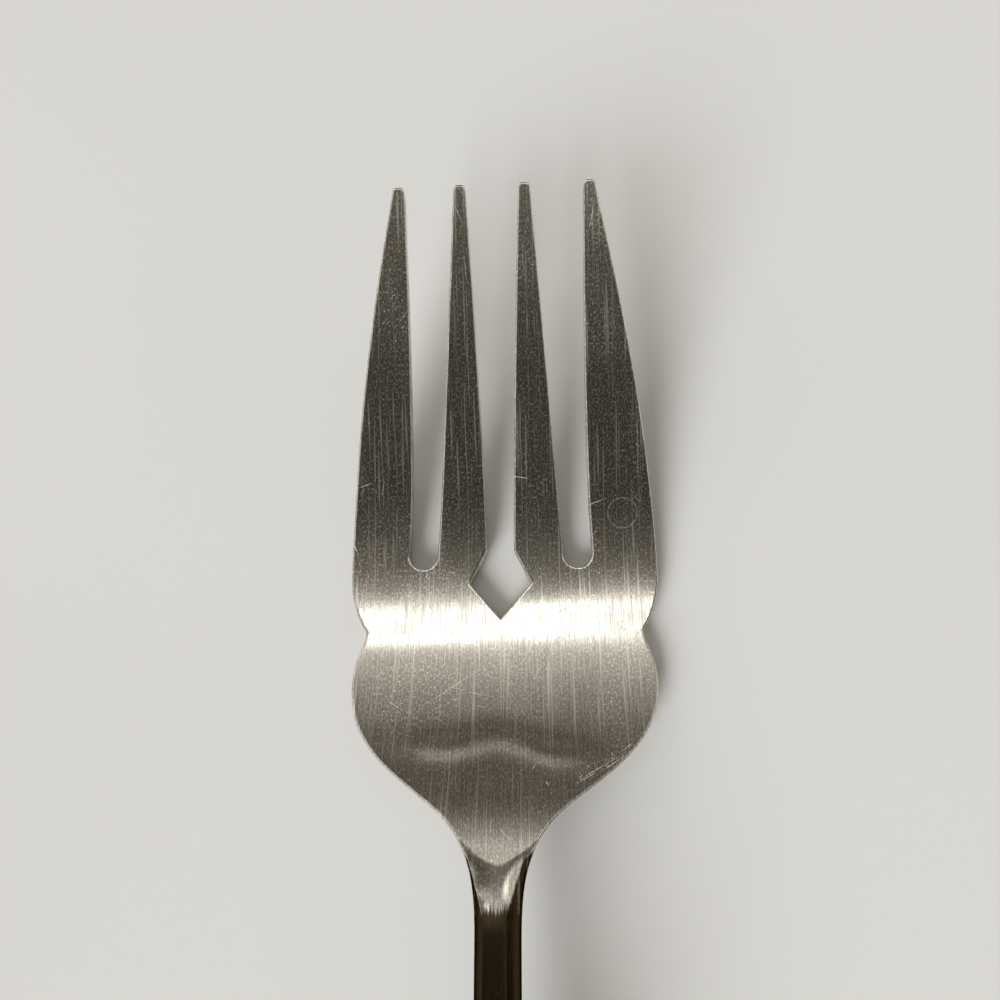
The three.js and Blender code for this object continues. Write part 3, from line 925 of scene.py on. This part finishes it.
FERRULE_SIDES = 96
LIP_RINGS = 9
BEAD_RINGS = 17
# Places along the ferrule as shares of its run, from its front face to the handle's mouth
LIP_RUN = 0.24
BEAD_MIDDLE = 0.6
BEAD_HALF = 0.2
# Grooves before and behind the bead: place along the ferrule, and share of the depth
FRONT_GROOVE = ((0.3, 0), (0.33, 1), (0.38, 1))
BACK_GROOVE = ((0.82, 1), (0.87, 1), (0.9, 0))
GROOVE_DEPTH = 0.12 * MM


def ferrule_profile(head, handle):
    """Rings of the ferrule from its front face to its mouth, as place and growth on the mouth."""
    run = head.shoulder - handle.mouth
    lip_drop = (handle.mouth_width - head.shank_width) / 2 - handle.lip
    profile = []
    for turn in np.linspace(0, math.pi / 2, LIP_RINGS):
        place = head.shoulder - LIP_RUN * run * (1 - math.cos(turn))
        profile.append((place, -lip_drop * (1 - math.sin(turn))))
    for part, depth in FRONT_GROOVE:
        profile.append((head.shoulder - part * run, -depth * GROOVE_DEPTH))
    for turn in np.linspace(0, math.pi, BEAD_RINGS):
        place = head.shoulder - run * (BEAD_MIDDLE - BEAD_HALF * math.cos(turn))
        profile.append((place, handle.bead * math.sin(turn)))
    for part, depth in BACK_GROOVE:
        profile.append((head.shoulder - part * run, -depth * GROOVE_DEPTH))
    profile.append((handle.mouth, 0.0))
    return profile


def make_ferrule(head, handle, material):
    """Turned collar: a ring drawn back along its profile, in at the mouth and down to its spigot."""
    clear_selection()
    bpy.ops.mesh.primitive_circle_add(vertices=FERRULE_SIDES, radius=1, rotation=(math.pi / 2, 0, 0))
    bpy.ops.object.transform_apply(location=False, rotation=True, scale=False)
    collar = start_piece("ferrule_collar")
    bpy.ops.mesh.select_all(action="SELECT")
    spigot = -(handle.wall + handle.fit)
    bore = (head.tang_width / 2 + handle.bore, head.tang_thickness / 2 + handle.bore)
    mouth = (handle.mouth_width / 2, handle.mouth_thickness / 2)
    rings = [(head.shoulder, *bore)]
    rings += [(y, mouth[0] + grow, mouth[1] + grow) for y, grow in ferrule_profile(head, handle)]
    rings.append((handle.mouth, mouth[0] + spigot, mouth[1] + spigot))
    rings.append((head.tang_root, mouth[0] + spigot, mouth[1] + spigot))
    rings.append((head.tang_root, *bore))
    level = spine_height(head, handle, rings[0][0])
    bpy.ops.transform.resize(value=(rings[0][1], 1, rings[0][2]), center_override=(0, 0, 0))
    bpy.ops.transform.translate(value=(0, rings[0][0], level))
    for last, ring in zip(rings, rings[1:]):
        rise = spine_height(head, handle, ring[0]) - level
        level += rise
        bpy.ops.mesh.extrude_region_move(TRANSFORM_OT_translate={"value": (0, ring[0] - last[0], rise)})
        grow = (ring[1] / last[1], 1, ring[2] / last[2])
        bpy.ops.transform.resize(value=grow, center_override=(0, ring[0], level))
    front, back = rings[0][0], rings[-1][0]

    def open_rim(edge):
        ends = (min(abs(vert.co.y - front), abs(vert.co.y - back)) for vert in edge.verts)
        return edge.is_boundary and max(ends) < NEAR

    select_where(collar, "EDGE", open_rim)
    bpy.ops.mesh.bridge_edge_loops()
    close_piece(collar, FORGED_CREASE, material, "ferrule_steel", "ferrule")


class Nodes:
    """Short way to add and link the nodes of one material or of the world."""

    def __init__(self, owner, shader, coordinates):
        self.owner = owner
        owner.use_nodes = True
        self.tree = owner.node_tree
        self.shader = self.tree.nodes[shader]
        self.place = self.tree.nodes.new("ShaderNodeTexCoord").outputs[coordinates]

    def follow(self, attribute):
        """Reads the pattern's place from an attribute of the piece."""
        self.place = self.add("ShaderNodeAttribute", attribute_name=attribute).outputs["Vector"]

    def add(self, kind, inputs=None, **settings):
        node = self.tree.nodes.new(kind)
        for key, value in settings.items():
            setattr(node, key, value)
        for key, value in (inputs or {}).items():
            self.feed(node.inputs[key], value)
        return node

    def feed(self, socket, value):
        """Links a socket, or sets it where the value is plain."""
        if isinstance(value, bpy.types.NodeSocket):
            self.tree.links.new(value, socket)
        else:
            socket.default_value = value

    def shade(self, **inputs):
        """Feeds the shader's sockets; a name's underscores stand for spaces."""
        for name, value in inputs.items():
            self.feed(self.shader.inputs[name.replace("_", " ")], value)

    def math(self, operation, first, second=0.0):
        node = self.add("ShaderNodeMath", {0: first, 1: second}, operation=operation)
        return node.outputs[0]

    def plus(self, first, second):
        return self.math("ADD", first, second)

    def times(self, first, second):
        return self.math("MULTIPLY", first, second)

    def most(self, first, second):
        return self.math("MAXIMUM", first, second)

    def largest(self, values, first=0.0):
        """Largest of several values, each made and compared in turn."""
        for value in values:
            first = self.most(first, value)
        return first

    def spread(self, value, low, high, to_low=0.0, to_high=1.0):
        """Eases a value's range from low to high over to another range."""
        limits = {"Value": value, "From Min": low, "From Max": high, "To Min": to_low, "To Max": to_high}
        return self.add("ShaderNodeMapRange", limits, interpolation_type="SMOOTHSTEP").outputs[0]

    def blend(self, part, first, second):
        """Mixes two colours."""
        node = self.add("ShaderNodeMix", data_type="RGBA")
        for key, value in (("Factor_Float", part), ("A_Color", first), ("B_Color", second)):
            self.feed(next(s for s in node.inputs if s.identifier == key), value)
        return next(s for s in node.outputs if s.identifier == "Result_Color")

    def noise(self, scale, detail=2.0, roughness=0.5):
        """Noise with so many waves per metre along each axis."""
        place = self.add("ShaderNodeMapping", {"Vector": self.place, "Scale": scale}).outputs[0]
        inputs = {"Vector": place, "Scale": 1.0, "Detail": detail, "Roughness": roughness}
        return self.add("ShaderNodeTexNoise", inputs).outputs[0]

    def turned(self, x, y, along, across, turn):
        """Places counted from a point, in lengths along and across a turned line."""
        node = self.add("ShaderNodeMapping", {
            "Vector": self.place,
            "Location": (x * MM, y * MM, 0),
            "Rotation": (0, 0, math.radians(turn)),
            "Scale": (along * MM, across * MM, 1),
        }, vector_type="TEXTURE")
        return node.outputs[0]

    def oval(self, *mark):
        """How near a point lies to the middle of an oval mark: 1 there, 0 at its edge."""
        inputs = {"Vector": self.turned(*mark)}
        return self.add("ShaderNodeTexGradient", inputs, gradient_type="SPHERICAL").outputs["Fac"]

    def scratches(self, run, pitch, width, turn, seed):
        """Lens-shaped scratches, faint or strong, in some of the stretched cells."""
        place = self.turned(seed, 2 * seed, run, pitch, turn)
        cells = self.add("ShaderNodeTexVoronoi", {"Vector": place, "Scale": 1.0, "Randomness": 1.0})
        line = self.spread(cells.outputs["Distance"], SCRATCH_CORE * width, width, 1.0, 0.0)
        chance = self.add("ShaderNodeSeparateColor", {"Color": cells.outputs["Color"]})
        return self.times(line, self.spread(chance.outputs[0], *SCRATCH_CHANCE))

    def bump(self, height, distance, **inputs):
        settings = {"Height": height, "Strength": 1.0, "Distance": distance, **inputs}
        return self.add("ShaderNodeBump", settings).outputs[0]


def material_nodes(name):
    return Nodes(bpy.data.materials.new(name), "Principled BSDF", "Object")


def rgba(value, strength=1.0):
    """A colour, made lighter or darker, with its alpha."""
    return (*(min(1.0, strength * part) for part in value), 1.0)


# Waves per metre, detail and roughness of the steel's patterns
BRUSHED_GRAIN = (((7000, 170, 0), 2.0, 0.6), ((3300, 60, 0), 2.0, 0.6))
TURNED_GRAIN = (((60, 9000, 60), 3.0, 0.6), ((60, 2000, 60), 2.0, 0.5))
STROKES = ((4600, 2600, 0), 2.0, 0.7)
PATCHES = ((90, 60, 0), 3.0, 0.55)
WAVES = ((160, 90, 0), 1.0, 0.5)
WAVE_DEPTH = 0.03 * MM

# Families of scratches and of nicks: length, pitch, width as a share of the pitch, turn and seed
SCRATCHES = (
    (55, 0.7, 0.05, 94, 3.1), (50, 0.6, 0.05, 76, 7.7), (45, 0.6, 0.05, 113, 11.9),
    (36, 0.7, 0.05, 49, 17.3), (36, 0.7, 0.05, 142, 23.9), (30, 0.8, 0.05, 18, 31.7),
    (30, 0.8, 0.05, 171, 37.1),
)
NICKS = (
    (5.0, 0.35, 0.12, 99, 41.3), (4.0, 0.35, 0.12, 57, 47.9), (3.0, 0.4, 0.12, 154, 53.3),
    (2.2, 0.4, 0.14, 15, 59.9), (1.2, 0.5, 0.16, 128, 61.7),
)
SCRATCH_CORE = 0.2
SCRATCH_CHANCE = (0.25, 0.9)

# Marks on the head, each with its place across and along, half length, half width and turn
HEAD_MARKS = (
    (-6.2, -7.4, 4.6, 0.07, 32.8), (-1.7, -5.9, 0.9, 0.06, -56), (-5.1, -7.1, 0.9, 0.05, -61),
    (-2.95, -8.4, 1.8, 0.06, -12), (-10.7, -3.7, 1.6, 0.05, -71), (4.9, -5.6, 1.5, 0.05, 63),
    (-13.6, -9.9, 1.6, 0.06, -33), (-10.95, 4.0, 1.4, 0.06, 60), (-9.9, 4.0, 1.3, 0.06, -72),
    (4.2, -17.2, 0.5, 0.06, 54), (5.8, -19.1, 0.8, 0.06, -60), (0.7, -24.4, 1.1, 0.05, -46),
    (-0.9, -23.6, 1.2, 0.05, 86), (-3.7, -23.7, 0.7, 0.05, -55), (10.6, 5.2, 0.5, 0.06, 79),
    (-20.2, 11.3, 1.0, 0.06, -64), (8.6, -3.0, 2.6, 0.04, -3), (-16.0, -5.5, 1.2, 0.05, 48),
    (12.6, -17.1, 4.2, 0.06, 28), (14.1, -16.7, 2.2, 0.06, 31), (10.6, -18.4, 1.5, 0.06, 27),
    (15.7, -15.0, 1.4, 0.05, 36),
)
SCUFFED_PLACES = (
    (-11.0, -8.5, 9.5, 6.5, 10), (12.4, -17.1, 6.0, 1.2, 27.4), (-10.2, 7.5, 1.4, 0.6, -14),
)
CUP_RING = (16.95, 15.6, 2.15, 2.15, 0)
CUP_RING_IN = 0.07

# Ranges of the patterns: from low to high, and what these two become
SCUFFED_PATCHES = (0.45, 0.7, 0.15, 0.6)
SCUFF_EDGE = (0.0, 0.65)
SCRATCHED_PATCHES = (0.3, 0.6, 0.25, 1.0)
MARK_EDGE = (0.0, 0.7)
MARK_BREAKS = (0.4, 0.58, 0.3, 1.0)
CUP_RING_LINE = (0.02, 0.06, 0.15, 0.0)
LIGHT_STROKES = (0.5, 0.64)
LIGHT_ON_SCUFFS = (0.0, 1.0, 0.55, 1.0)
LIGHT_STREAKS = (0.55, 0.68, 0.0, 0.7)
STAINED_PATCHES = (0.5, 0.72, 0.0, 0.35)
COMBED = (0.2, 0.9, 1.0, 0.4)
DARK_STREAKS = (0.42, 0.58, 0.0, 0.62)
DARK_STROKES = (0.33, 0.46, 0.5, 0.0)
# Painted shade: streaks that break its edge, and the range over which it turns full
PAINTED_SHADE_STREAKS = (0.3, 0.7, -0.18, 0.18)
PAINTED_SHADE_RANGE = (0.25, 0.8)
ROUGH_GRAIN = (0.25, 0.75, -0.04, 0.05)
ROUGH_PATCHES = (0.3, 0.7, -0.02, 0.04)

# Shares that the patterns take in the steel's tint, shine and grain
SCUFF_STAIN = 0.5
DARK_TONE = 0.5
LIGHT_TONE = 1.5
WORN_TONE = 1.6
WORN_TINT = 0.9
WORN_DULL = 0.45
LIGHT_DULL = 0.1
LIGHT_ROUGH = 0.07
WORN_ROUGH = 0.5
# Painted shade: extra roughness under it, and how much lighter its edge tint is than its colour
PAINTED_SHADE_ROUGH = 0.12
PAINTED_SHADE_EDGE_TINT = 6.0
FINE_HEIGHT = 0.3
BROAD_HEIGHT = 0.1
STROKE_HEIGHT = 0.1
WORN_HEIGHT = 0.8


def steel(name, tone, stain, roughness, grain, grain_depth, wear, attribute=None, shank=None):
    """Brushed steel: its grain, patches of handling, scratches every way and small nicks.

    The head's steel gets painted shade in the shank's colour on its shank and the neck's sides, and has
    marks of its own.
    """
    nodes = material_nodes(name)
    if attribute:
        nodes.follow(attribute)
    fine, broad = [nodes.noise(*pattern) for pattern in grain]
    strokes = nodes.noise(*STROKES)
    patches = nodes.noise(*PATCHES)
    waves = nodes.noise(*WAVES)
    scuffed = nodes.spread(patches, *SCUFFED_PATCHES)
    if shank:
        places = (nodes.spread(nodes.oval(*place), *SCUFF_EDGE) for place in SCUFFED_PLACES)
        scuffed = nodes.largest(places, scuffed)
    worn = nodes.times(scratched(nodes, patches, scuffed), wear)
    if shank:
        worn = marked(nodes, worn, strokes)

    light = nodes.times(nodes.spread(strokes, *LIGHT_STROKES), nodes.spread(scuffed, *LIGHT_ON_SCUFFS))
    light = nodes.most(light, nodes.spread(broad, *LIGHT_STREAKS))
    stained = nodes.most(nodes.spread(patches, *STAINED_PATCHES), nodes.times(scuffed, SCUFF_STAIN))
    tint = nodes.blend(stained, rgba(tone), rgba(stain))
    combed = nodes.spread(scuffed, *COMBED)
    streaks = nodes.times(nodes.spread(fine, *DARK_STREAKS), combed)
    streaks = nodes.most(streaks, nodes.spread(strokes, *DARK_STROKES))
    tint = nodes.blend(streaks, tint, rgba(tone, DARK_TONE))
    tint = nodes.blend(light, tint, rgba(tone, LIGHT_TONE))
    tint = nodes.blend(nodes.times(worn, WORN_TINT), tint, rgba(tone, WORN_TONE))
    # Painted shade: colour and edge tint turn to the shank's near-black where the forged attribute is high,
    # standing in for shadow and dark reflection
    if shank:
        depth = nodes.add("ShaderNodeAttribute", attribute_name=PAINTED_SHADE).outputs["Fac"]
        dark = nodes.spread(nodes.plus(depth, nodes.spread(broad, *PAINTED_SHADE_STREAKS)), *PAINTED_SHADE_RANGE)
        tint = nodes.blend(dark, tint, rgba(shank))
        nodes.shade(Specular_Tint=nodes.blend(dark, rgba((1, 1, 1)), rgba(shank, PAINTED_SHADE_EDGE_TINT)))
    nodes.shade(Base_Color=tint)
    dull = nodes.plus(nodes.times(worn, WORN_DULL), nodes.times(light, LIGHT_DULL))
    # The plain value stays behind the link, for a viewer that doesn't follow links
    nodes.shade(Metallic=1.0)
    nodes.shade(Metallic=nodes.math("SUBTRACT", 1.0, dull))

    low, high, smoother, rougher = ROUGH_GRAIN
    rough = nodes.spread(fine, low, high, roughness + smoother, roughness + rougher)
    rough = nodes.plus(rough, nodes.spread(patches, *ROUGH_PATCHES))
    rough = nodes.plus(rough, nodes.times(light, LIGHT_ROUGH))
    rough = nodes.plus(rough, nodes.times(worn, WORN_ROUGH))
    # Rougher where the shade is painted
    if shank:
        rough = nodes.plus(rough, nodes.times(dark, PAINTED_SHADE_ROUGH))
    nodes.shade(Roughness=rough)

    height = nodes.plus(nodes.times(fine, FINE_HEIGHT), nodes.times(broad, BROAD_HEIGHT))
    height = nodes.plus(height, nodes.times(strokes, STROKE_HEIGHT))
    height = nodes.math("SUBTRACT", height, nodes.times(worn, WORN_HEIGHT))
    grained = nodes.bump(height, grain_depth)
    nodes.shade(Normal=nodes.bump(waves, WAVE_DEPTH, Normal=grained))
    return nodes.owner


def scratched(nodes, patches, scuffed):
    """Scratches all over, fewer between the handled patches, and nicks where the steel is scuffed."""
    lines = nodes.largest(nodes.scratches(*family) for family in SCRATCHES)
    nicks = nodes.largest(nodes.scratches(*family) for family in NICKS)
    lines = nodes.times(lines, nodes.spread(patches, *SCRATCHED_PATCHES))
    return nodes.most(lines, nodes.times(nicks, scuffed))


def marked(nodes, worn, strokes):
    """Adds the head's own marks, broken by the strokes, and a faint ring as a cup leaves it."""
    marks = nodes.largest(nodes.spread(nodes.oval(*mark), *MARK_EDGE) for mark in HEAD_MARKS)
    marks = nodes.times(marks, nodes.spread(strokes, *MARK_BREAKS))
    worn = nodes.most(worn, marks)
    ring = nodes.math("ABSOLUTE", nodes.math("SUBTRACT", nodes.oval(*CUP_RING), CUP_RING_IN))
    return nodes.most(worn, nodes.spread(ring, *CUP_RING_LINE))


def solder_metal(name, tone):
    """Filed solder: fine file marks across the seam and small pits."""
    file_waves = (900, 6000, 900)
    pit_waves = (2500, 2500, 2500)
    pit_range = (0.55, 0.75, 0.0, 0.5)
    pit_tone = 0.7
    rough_range = (0.3, 0.7, 0.36, 0.52)
    file_depth = 0.01 * MM
    nodes = material_nodes(name)
    filed = nodes.noise(file_waves)
    pits = nodes.spread(nodes.noise(pit_waves, detail=1.0), *pit_range)
    nodes.shade(
        Base_Color=nodes.blend(pits, rgba(tone), rgba(tone, pit_tone)),
        Metallic=1.0,
        Roughness=nodes.spread(filed, *rough_range),
        Normal=nodes.bump(filed, file_depth),
    )
    return nodes.owner


def cast_cement(name, tone):
    """Cast resin cement: sandy grain and soft clouds."""
    sand_waves = (3500, 3500, 3500)
    cloud_waves = (300, 300, 300)
    shade_range = (0.7, 1.3)
    dark_tone = 0.75
    rough_range = (0.3, 0.7, 0.85, 1.0)
    sand_depth = 0.06 * MM
    nodes = material_nodes(name)
    sand = nodes.noise(sand_waves, detail=3.0, roughness=0.7)
    clouds = nodes.noise(cloud_waves)
    shade = nodes.spread(nodes.plus(sand, clouds), *shade_range)
    nodes.shade(
        Base_Color=nodes.blend(shade, rgba(tone, dark_tone), rgba(tone)),
        Roughness=nodes.spread(sand, *rough_range),
        Normal=nodes.bump(sand, sand_depth),
    )
    return nodes.owner


def pale_floor(name, tone):
    """Pale matt floor with a faint cloud in it."""
    cloud_waves = (6, 6, 6)
    cloud_range = (0.3, 0.7)
    cloud_tone = 0.97
    nodes = material_nodes(name)
    clouds = nodes.spread(nodes.noise(cloud_waves), *cloud_range)
    nodes.shade(
        Base_Color=nodes.blend(clouds, rgba(tone, cloud_tone), rgba(tone)),
        Roughness=0.8,
        Specular_IOR_Level=0.2,
    )
    return nodes.owner


class FORK_OT_head(bpy.types.Operator):
    """Forge the head with its tines, spade, neck and tang"""

    bl_idname = "fork.make_head"
    bl_label = "Head"

    def execute(self, context):
        head = context.scene.fork_head
        finishes = context.scene.fork_finishes
        clear_selection()
        blank = head_blank(head)
        draw_out_neck(blank, head)
        bpy.ops.object.mode_set(mode="OBJECT")
        forge_head(blank, head, context.scene.fork_handle)
        bpy.ops.object.mode_set(mode="EDIT")
        # The shank's colour goes onto the shank and the neck's sides as painted shade
        metal = steel(
            "worn_head_steel", finishes.head_colour, finishes.stain_colour, finishes.head_roughness,
            BRUSHED_GRAIN, grain_depth=0.012 * MM, wear=1.0, shank=finishes.shank_painted_shade,
        )
        close_piece(blank, FORGED_CREASE, metal, "head_steel", "fork_head")
        return {"FINISHED"}


class FORK_OT_ferrule(bpy.types.Operator):
    """Turn the ferrule between the shank and the handle"""

    bl_idname = "fork.make_ferrule"
    bl_label = "Ferrule"

    def execute(self, context):
        finishes = context.scene.fork_finishes
        metal = steel(
            "turned_ferrule_steel", finishes.ferrule_colour, finishes.stain_colour,
            finishes.ferrule_roughness, TURNED_GRAIN, grain_depth=0.006 * MM, wear=0.5,
        )
        make_ferrule(context.scene.fork_head, context.scene.fork_handle, metal)
        return {"FINISHED"}


class FORK_OT_shells(bpy.types.Operator):
    """Strike the two halves of the hollow handle"""

    bl_idname = "fork.make_shells"
    bl_label = "Handle shells"

    def execute(self, context):
        head = context.scene.fork_head
        handle = context.scene.fork_handle
        finishes = context.scene.fork_finishes
        metal = steel(
            "brushed_handle_steel", finishes.handle_colour, finishes.stain_colour,
            finishes.handle_roughness, BRUSHED_GRAIN, grain_depth=0.010 * MM, wear=0.7, attribute=GRAIN,
        )
        make_shell("handle_front_half", 1, head, handle, metal, "handle_front_shell")
        make_shell("handle_back_half", -1, head, handle, metal, "handle_back_shell")
        return {"FINISHED"}


class FORK_OT_seam(bpy.types.Operator):
    """Run the solder between the shells and finish the cement round the tang"""

    bl_idname = "fork.make_seam"
    bl_label = "Seam and cement"

    def execute(self, context):
        finishes = context.scene.fork_finishes
        solder = solder_metal("filed_silver_solder", finishes.solder_colour)
        make_seam(context.scene.fork_head, context.scene.fork_handle, solder)
        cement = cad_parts["tang_cement"]
        cement.data.materials.clear()
        cement.data.materials.append(cast_cement("cast_tang_cement", finishes.cement_colour))
        return {"FINISHED"}


class FORK_OT_stage(bpy.types.Operator):
    """Lay the floor and set the lamps and the camera"""

    bl_idname = "fork.make_stage"
    bl_label = "Stage"

    def execute(self, context):
        stage = context.scene.fork_stage
        lay_floor(stage)
        light_world(context.scene)
        hang_strip(stage)
        hang_fill(stage)
        set_camera(context.scene, stage)
        context.scene.view_settings.view_transform = "Standard"
        return {"FINISHED"}


def lay_floor(stage):
    clear_selection()
    bpy.ops.mesh.primitive_plane_add(size=stage.floor_size, location=(0, 0, -stage.floor_drop))
    floor = bpy.context.object
    floor.name = "pale_floor"
    floor.data.materials.append(pale_floor("pale_floor_paint", stage.floor_colour))


# Light of the room over the direction's part along the fork, from the handle's side to the tines' side
ROOM_LIGHT = (
    (-1.0, 0.75), (-0.7, 0.3), (-0.45, 0.055), (-0.3, 0.06), (-0.2, 0.085), (-0.06, 0.14),
    (0.06, 0.24), (0.15, 0.6), (0.22, 0.72), (0.3, 0.66), (0.375, 0.5), (0.47, 0.34), (0.6, 0.19),
    (0.72, 0.135), (0.84, 0.15), (0.92, 0.2), (0.98, 0.75),
)
PALE_TINT = (1.0, 0.955, 0.87)
DARK_TINT = (1.0, 0.88, 0.68)
PALE_ROOM = 0.75
WINDOW_LIGHT = 1.8
# Parts of the direction over which the room turns pale, low down and to the left, and the window opens
PALE_BELOW = (0.5, 0.15)
PALE_LEFT = (-0.33, -0.6)
WINDOW_LEFT = (-0.45, -0.7)
WINDOW_FRONT = (0.2, 0.42)
WINDOW_ABOVE = (0.42, 0.5)


def room_shade(level):
    """Colour of the room's light, warmer where it is dim."""
    part = min(1, level / PALE_ROOM * 2)
    return tuple(level * mix(dark, pale, part) for dark, pale in zip(DARK_TINT, PALE_TINT)) + (1,)


def light_world(scene):
    """Soft room: light changes along the fork, is pale low down and to the left, and has one window."""
    scene.world = bpy.data.worlds.new("soft_room")
    nodes = Nodes(scene.world, "Background", "Generated")
    direction = nodes.add("ShaderNodeSeparateXYZ", {0: nodes.place}).outputs
    along = nodes.times(nodes.plus(direction["Y"], 1.0), 0.5)
    ramp = nodes.add("ShaderNodeValToRGB", {"Fac": along})
    ramp.color_ramp.interpolation = "EASE"
    stops = ramp.color_ramp.elements
    while len(stops) < len(ROOM_LIGHT):
        stops.new(0.5)
    for stop, (part, level) in zip(stops, ROOM_LIGHT):
        stop.position = (part + 1) / 2
        stop.color = room_shade(level)

    pale = nodes.most(nodes.spread(direction["Z"], *PALE_BELOW), nodes.spread(direction["X"], *PALE_LEFT))
    window = nodes.times(
        nodes.spread(direction["X"], *WINDOW_LEFT), nodes.spread(direction["Y"], *WINDOW_FRONT)
    )
    window = nodes.times(window, nodes.spread(direction["Z"], *WINDOW_ABOVE))
    room = nodes.blend(pale, ramp.outputs["Color"], room_shade(PALE_ROOM))
    nodes.shade(Color=nodes.blend(window, room, room_shade(WINDOW_LIGHT)))


def hang_fill(stage):
    """Broad soft lamp from behind the handle."""
    bpy.ops.object.light_add(type="SUN", rotation=(stage.fill_tilt, 0, stage.fill_turn))
    fill = bpy.context.object
    fill.name = "broad_fill"
    fill.data.energy = stage.fill_strength
    fill.data.angle = stage.fill_spread
    fill.visible_glossy = False


def hang_strip(stage):
    """Long soft strip above the waist of the head."""
    bpy.ops.object.light_add(type="AREA", location=(0, stage.strip_place, stage.strip_height))
    strip = bpy.context.object
    strip.name = "overhead_strip"
    strip.data.shape = "RECTANGLE"
    strip.data.size = stage.strip_length
    strip.data.size_y = stage.strip_width
    strip.data.energy = stage.strip_power
    strip.data.color = stage.strip_colour
    strip.rotation_euler = (0, 0, stage.strip_turn)


SENSOR_WIDTH = 36
CAMERA_CLEARANCE = 10 * MM


def set_camera(scene, stage):
    bpy.ops.object.camera_add(location=stage.camera_place)
    camera = bpy.context.object
    camera.name = "front_camera"
    camera.rotation_euler = Euler(stage.camera_turn)
    camera.data.lens = stage.lens
    camera.data.sensor_width = SENSOR_WIDTH
    camera.data.clip_start = CAMERA_CLEARANCE
    scene.camera = camera


class FORK_PT_panel(bpy.types.Panel):
    """Buttons for the pieces of the fork"""

    bl_idname = "FORK_PT_panel"
    bl_label = "Cold Meat Fork"
    bl_space_type = "VIEW_3D"
    bl_region_type = "UI"
    bl_category = "Fork"

    def draw(self, context):
        for operator in OPERATORS:
            self.layout.operator(operator.bl_idname)


SIZE_GROUPS = {
    "fork_head": ForkHeadSizes,
    "fork_handle": ForkHandleSizes,
    "fork_finishes": ForkFinishes,
    "fork_stage": ForkStageSizes,
}
OPERATORS = (FORK_OT_head, FORK_OT_ferrule, FORK_OT_shells, FORK_OT_seam, FORK_OT_stage)


def register():
    for name, group in SIZE_GROUPS.items():
        bpy.utils.register_class(group)
        setattr(bpy.types.Scene, name, PointerProperty(type=group))
    for operator in OPERATORS:
        bpy.utils.register_class(operator)
    bpy.utils.register_class(FORK_PT_panel)


def unregister():
    bpy.utils.unregister_class(FORK_PT_panel)
    for operator in reversed(OPERATORS):
        bpy.utils.unregister_class(operator)
    for name, group in SIZE_GROUPS.items():
        delattr(bpy.types.Scene, name)
        bpy.utils.unregister_class(group)


def main():
    register()
    bpy.ops.fork.make_head()
    bpy.ops.fork.make_ferrule()
    bpy.ops.fork.make_shells()
    bpy.ops.fork.make_seam()
    bpy.ops.fork.make_stage()


if __name__ == "__main__":
    main()
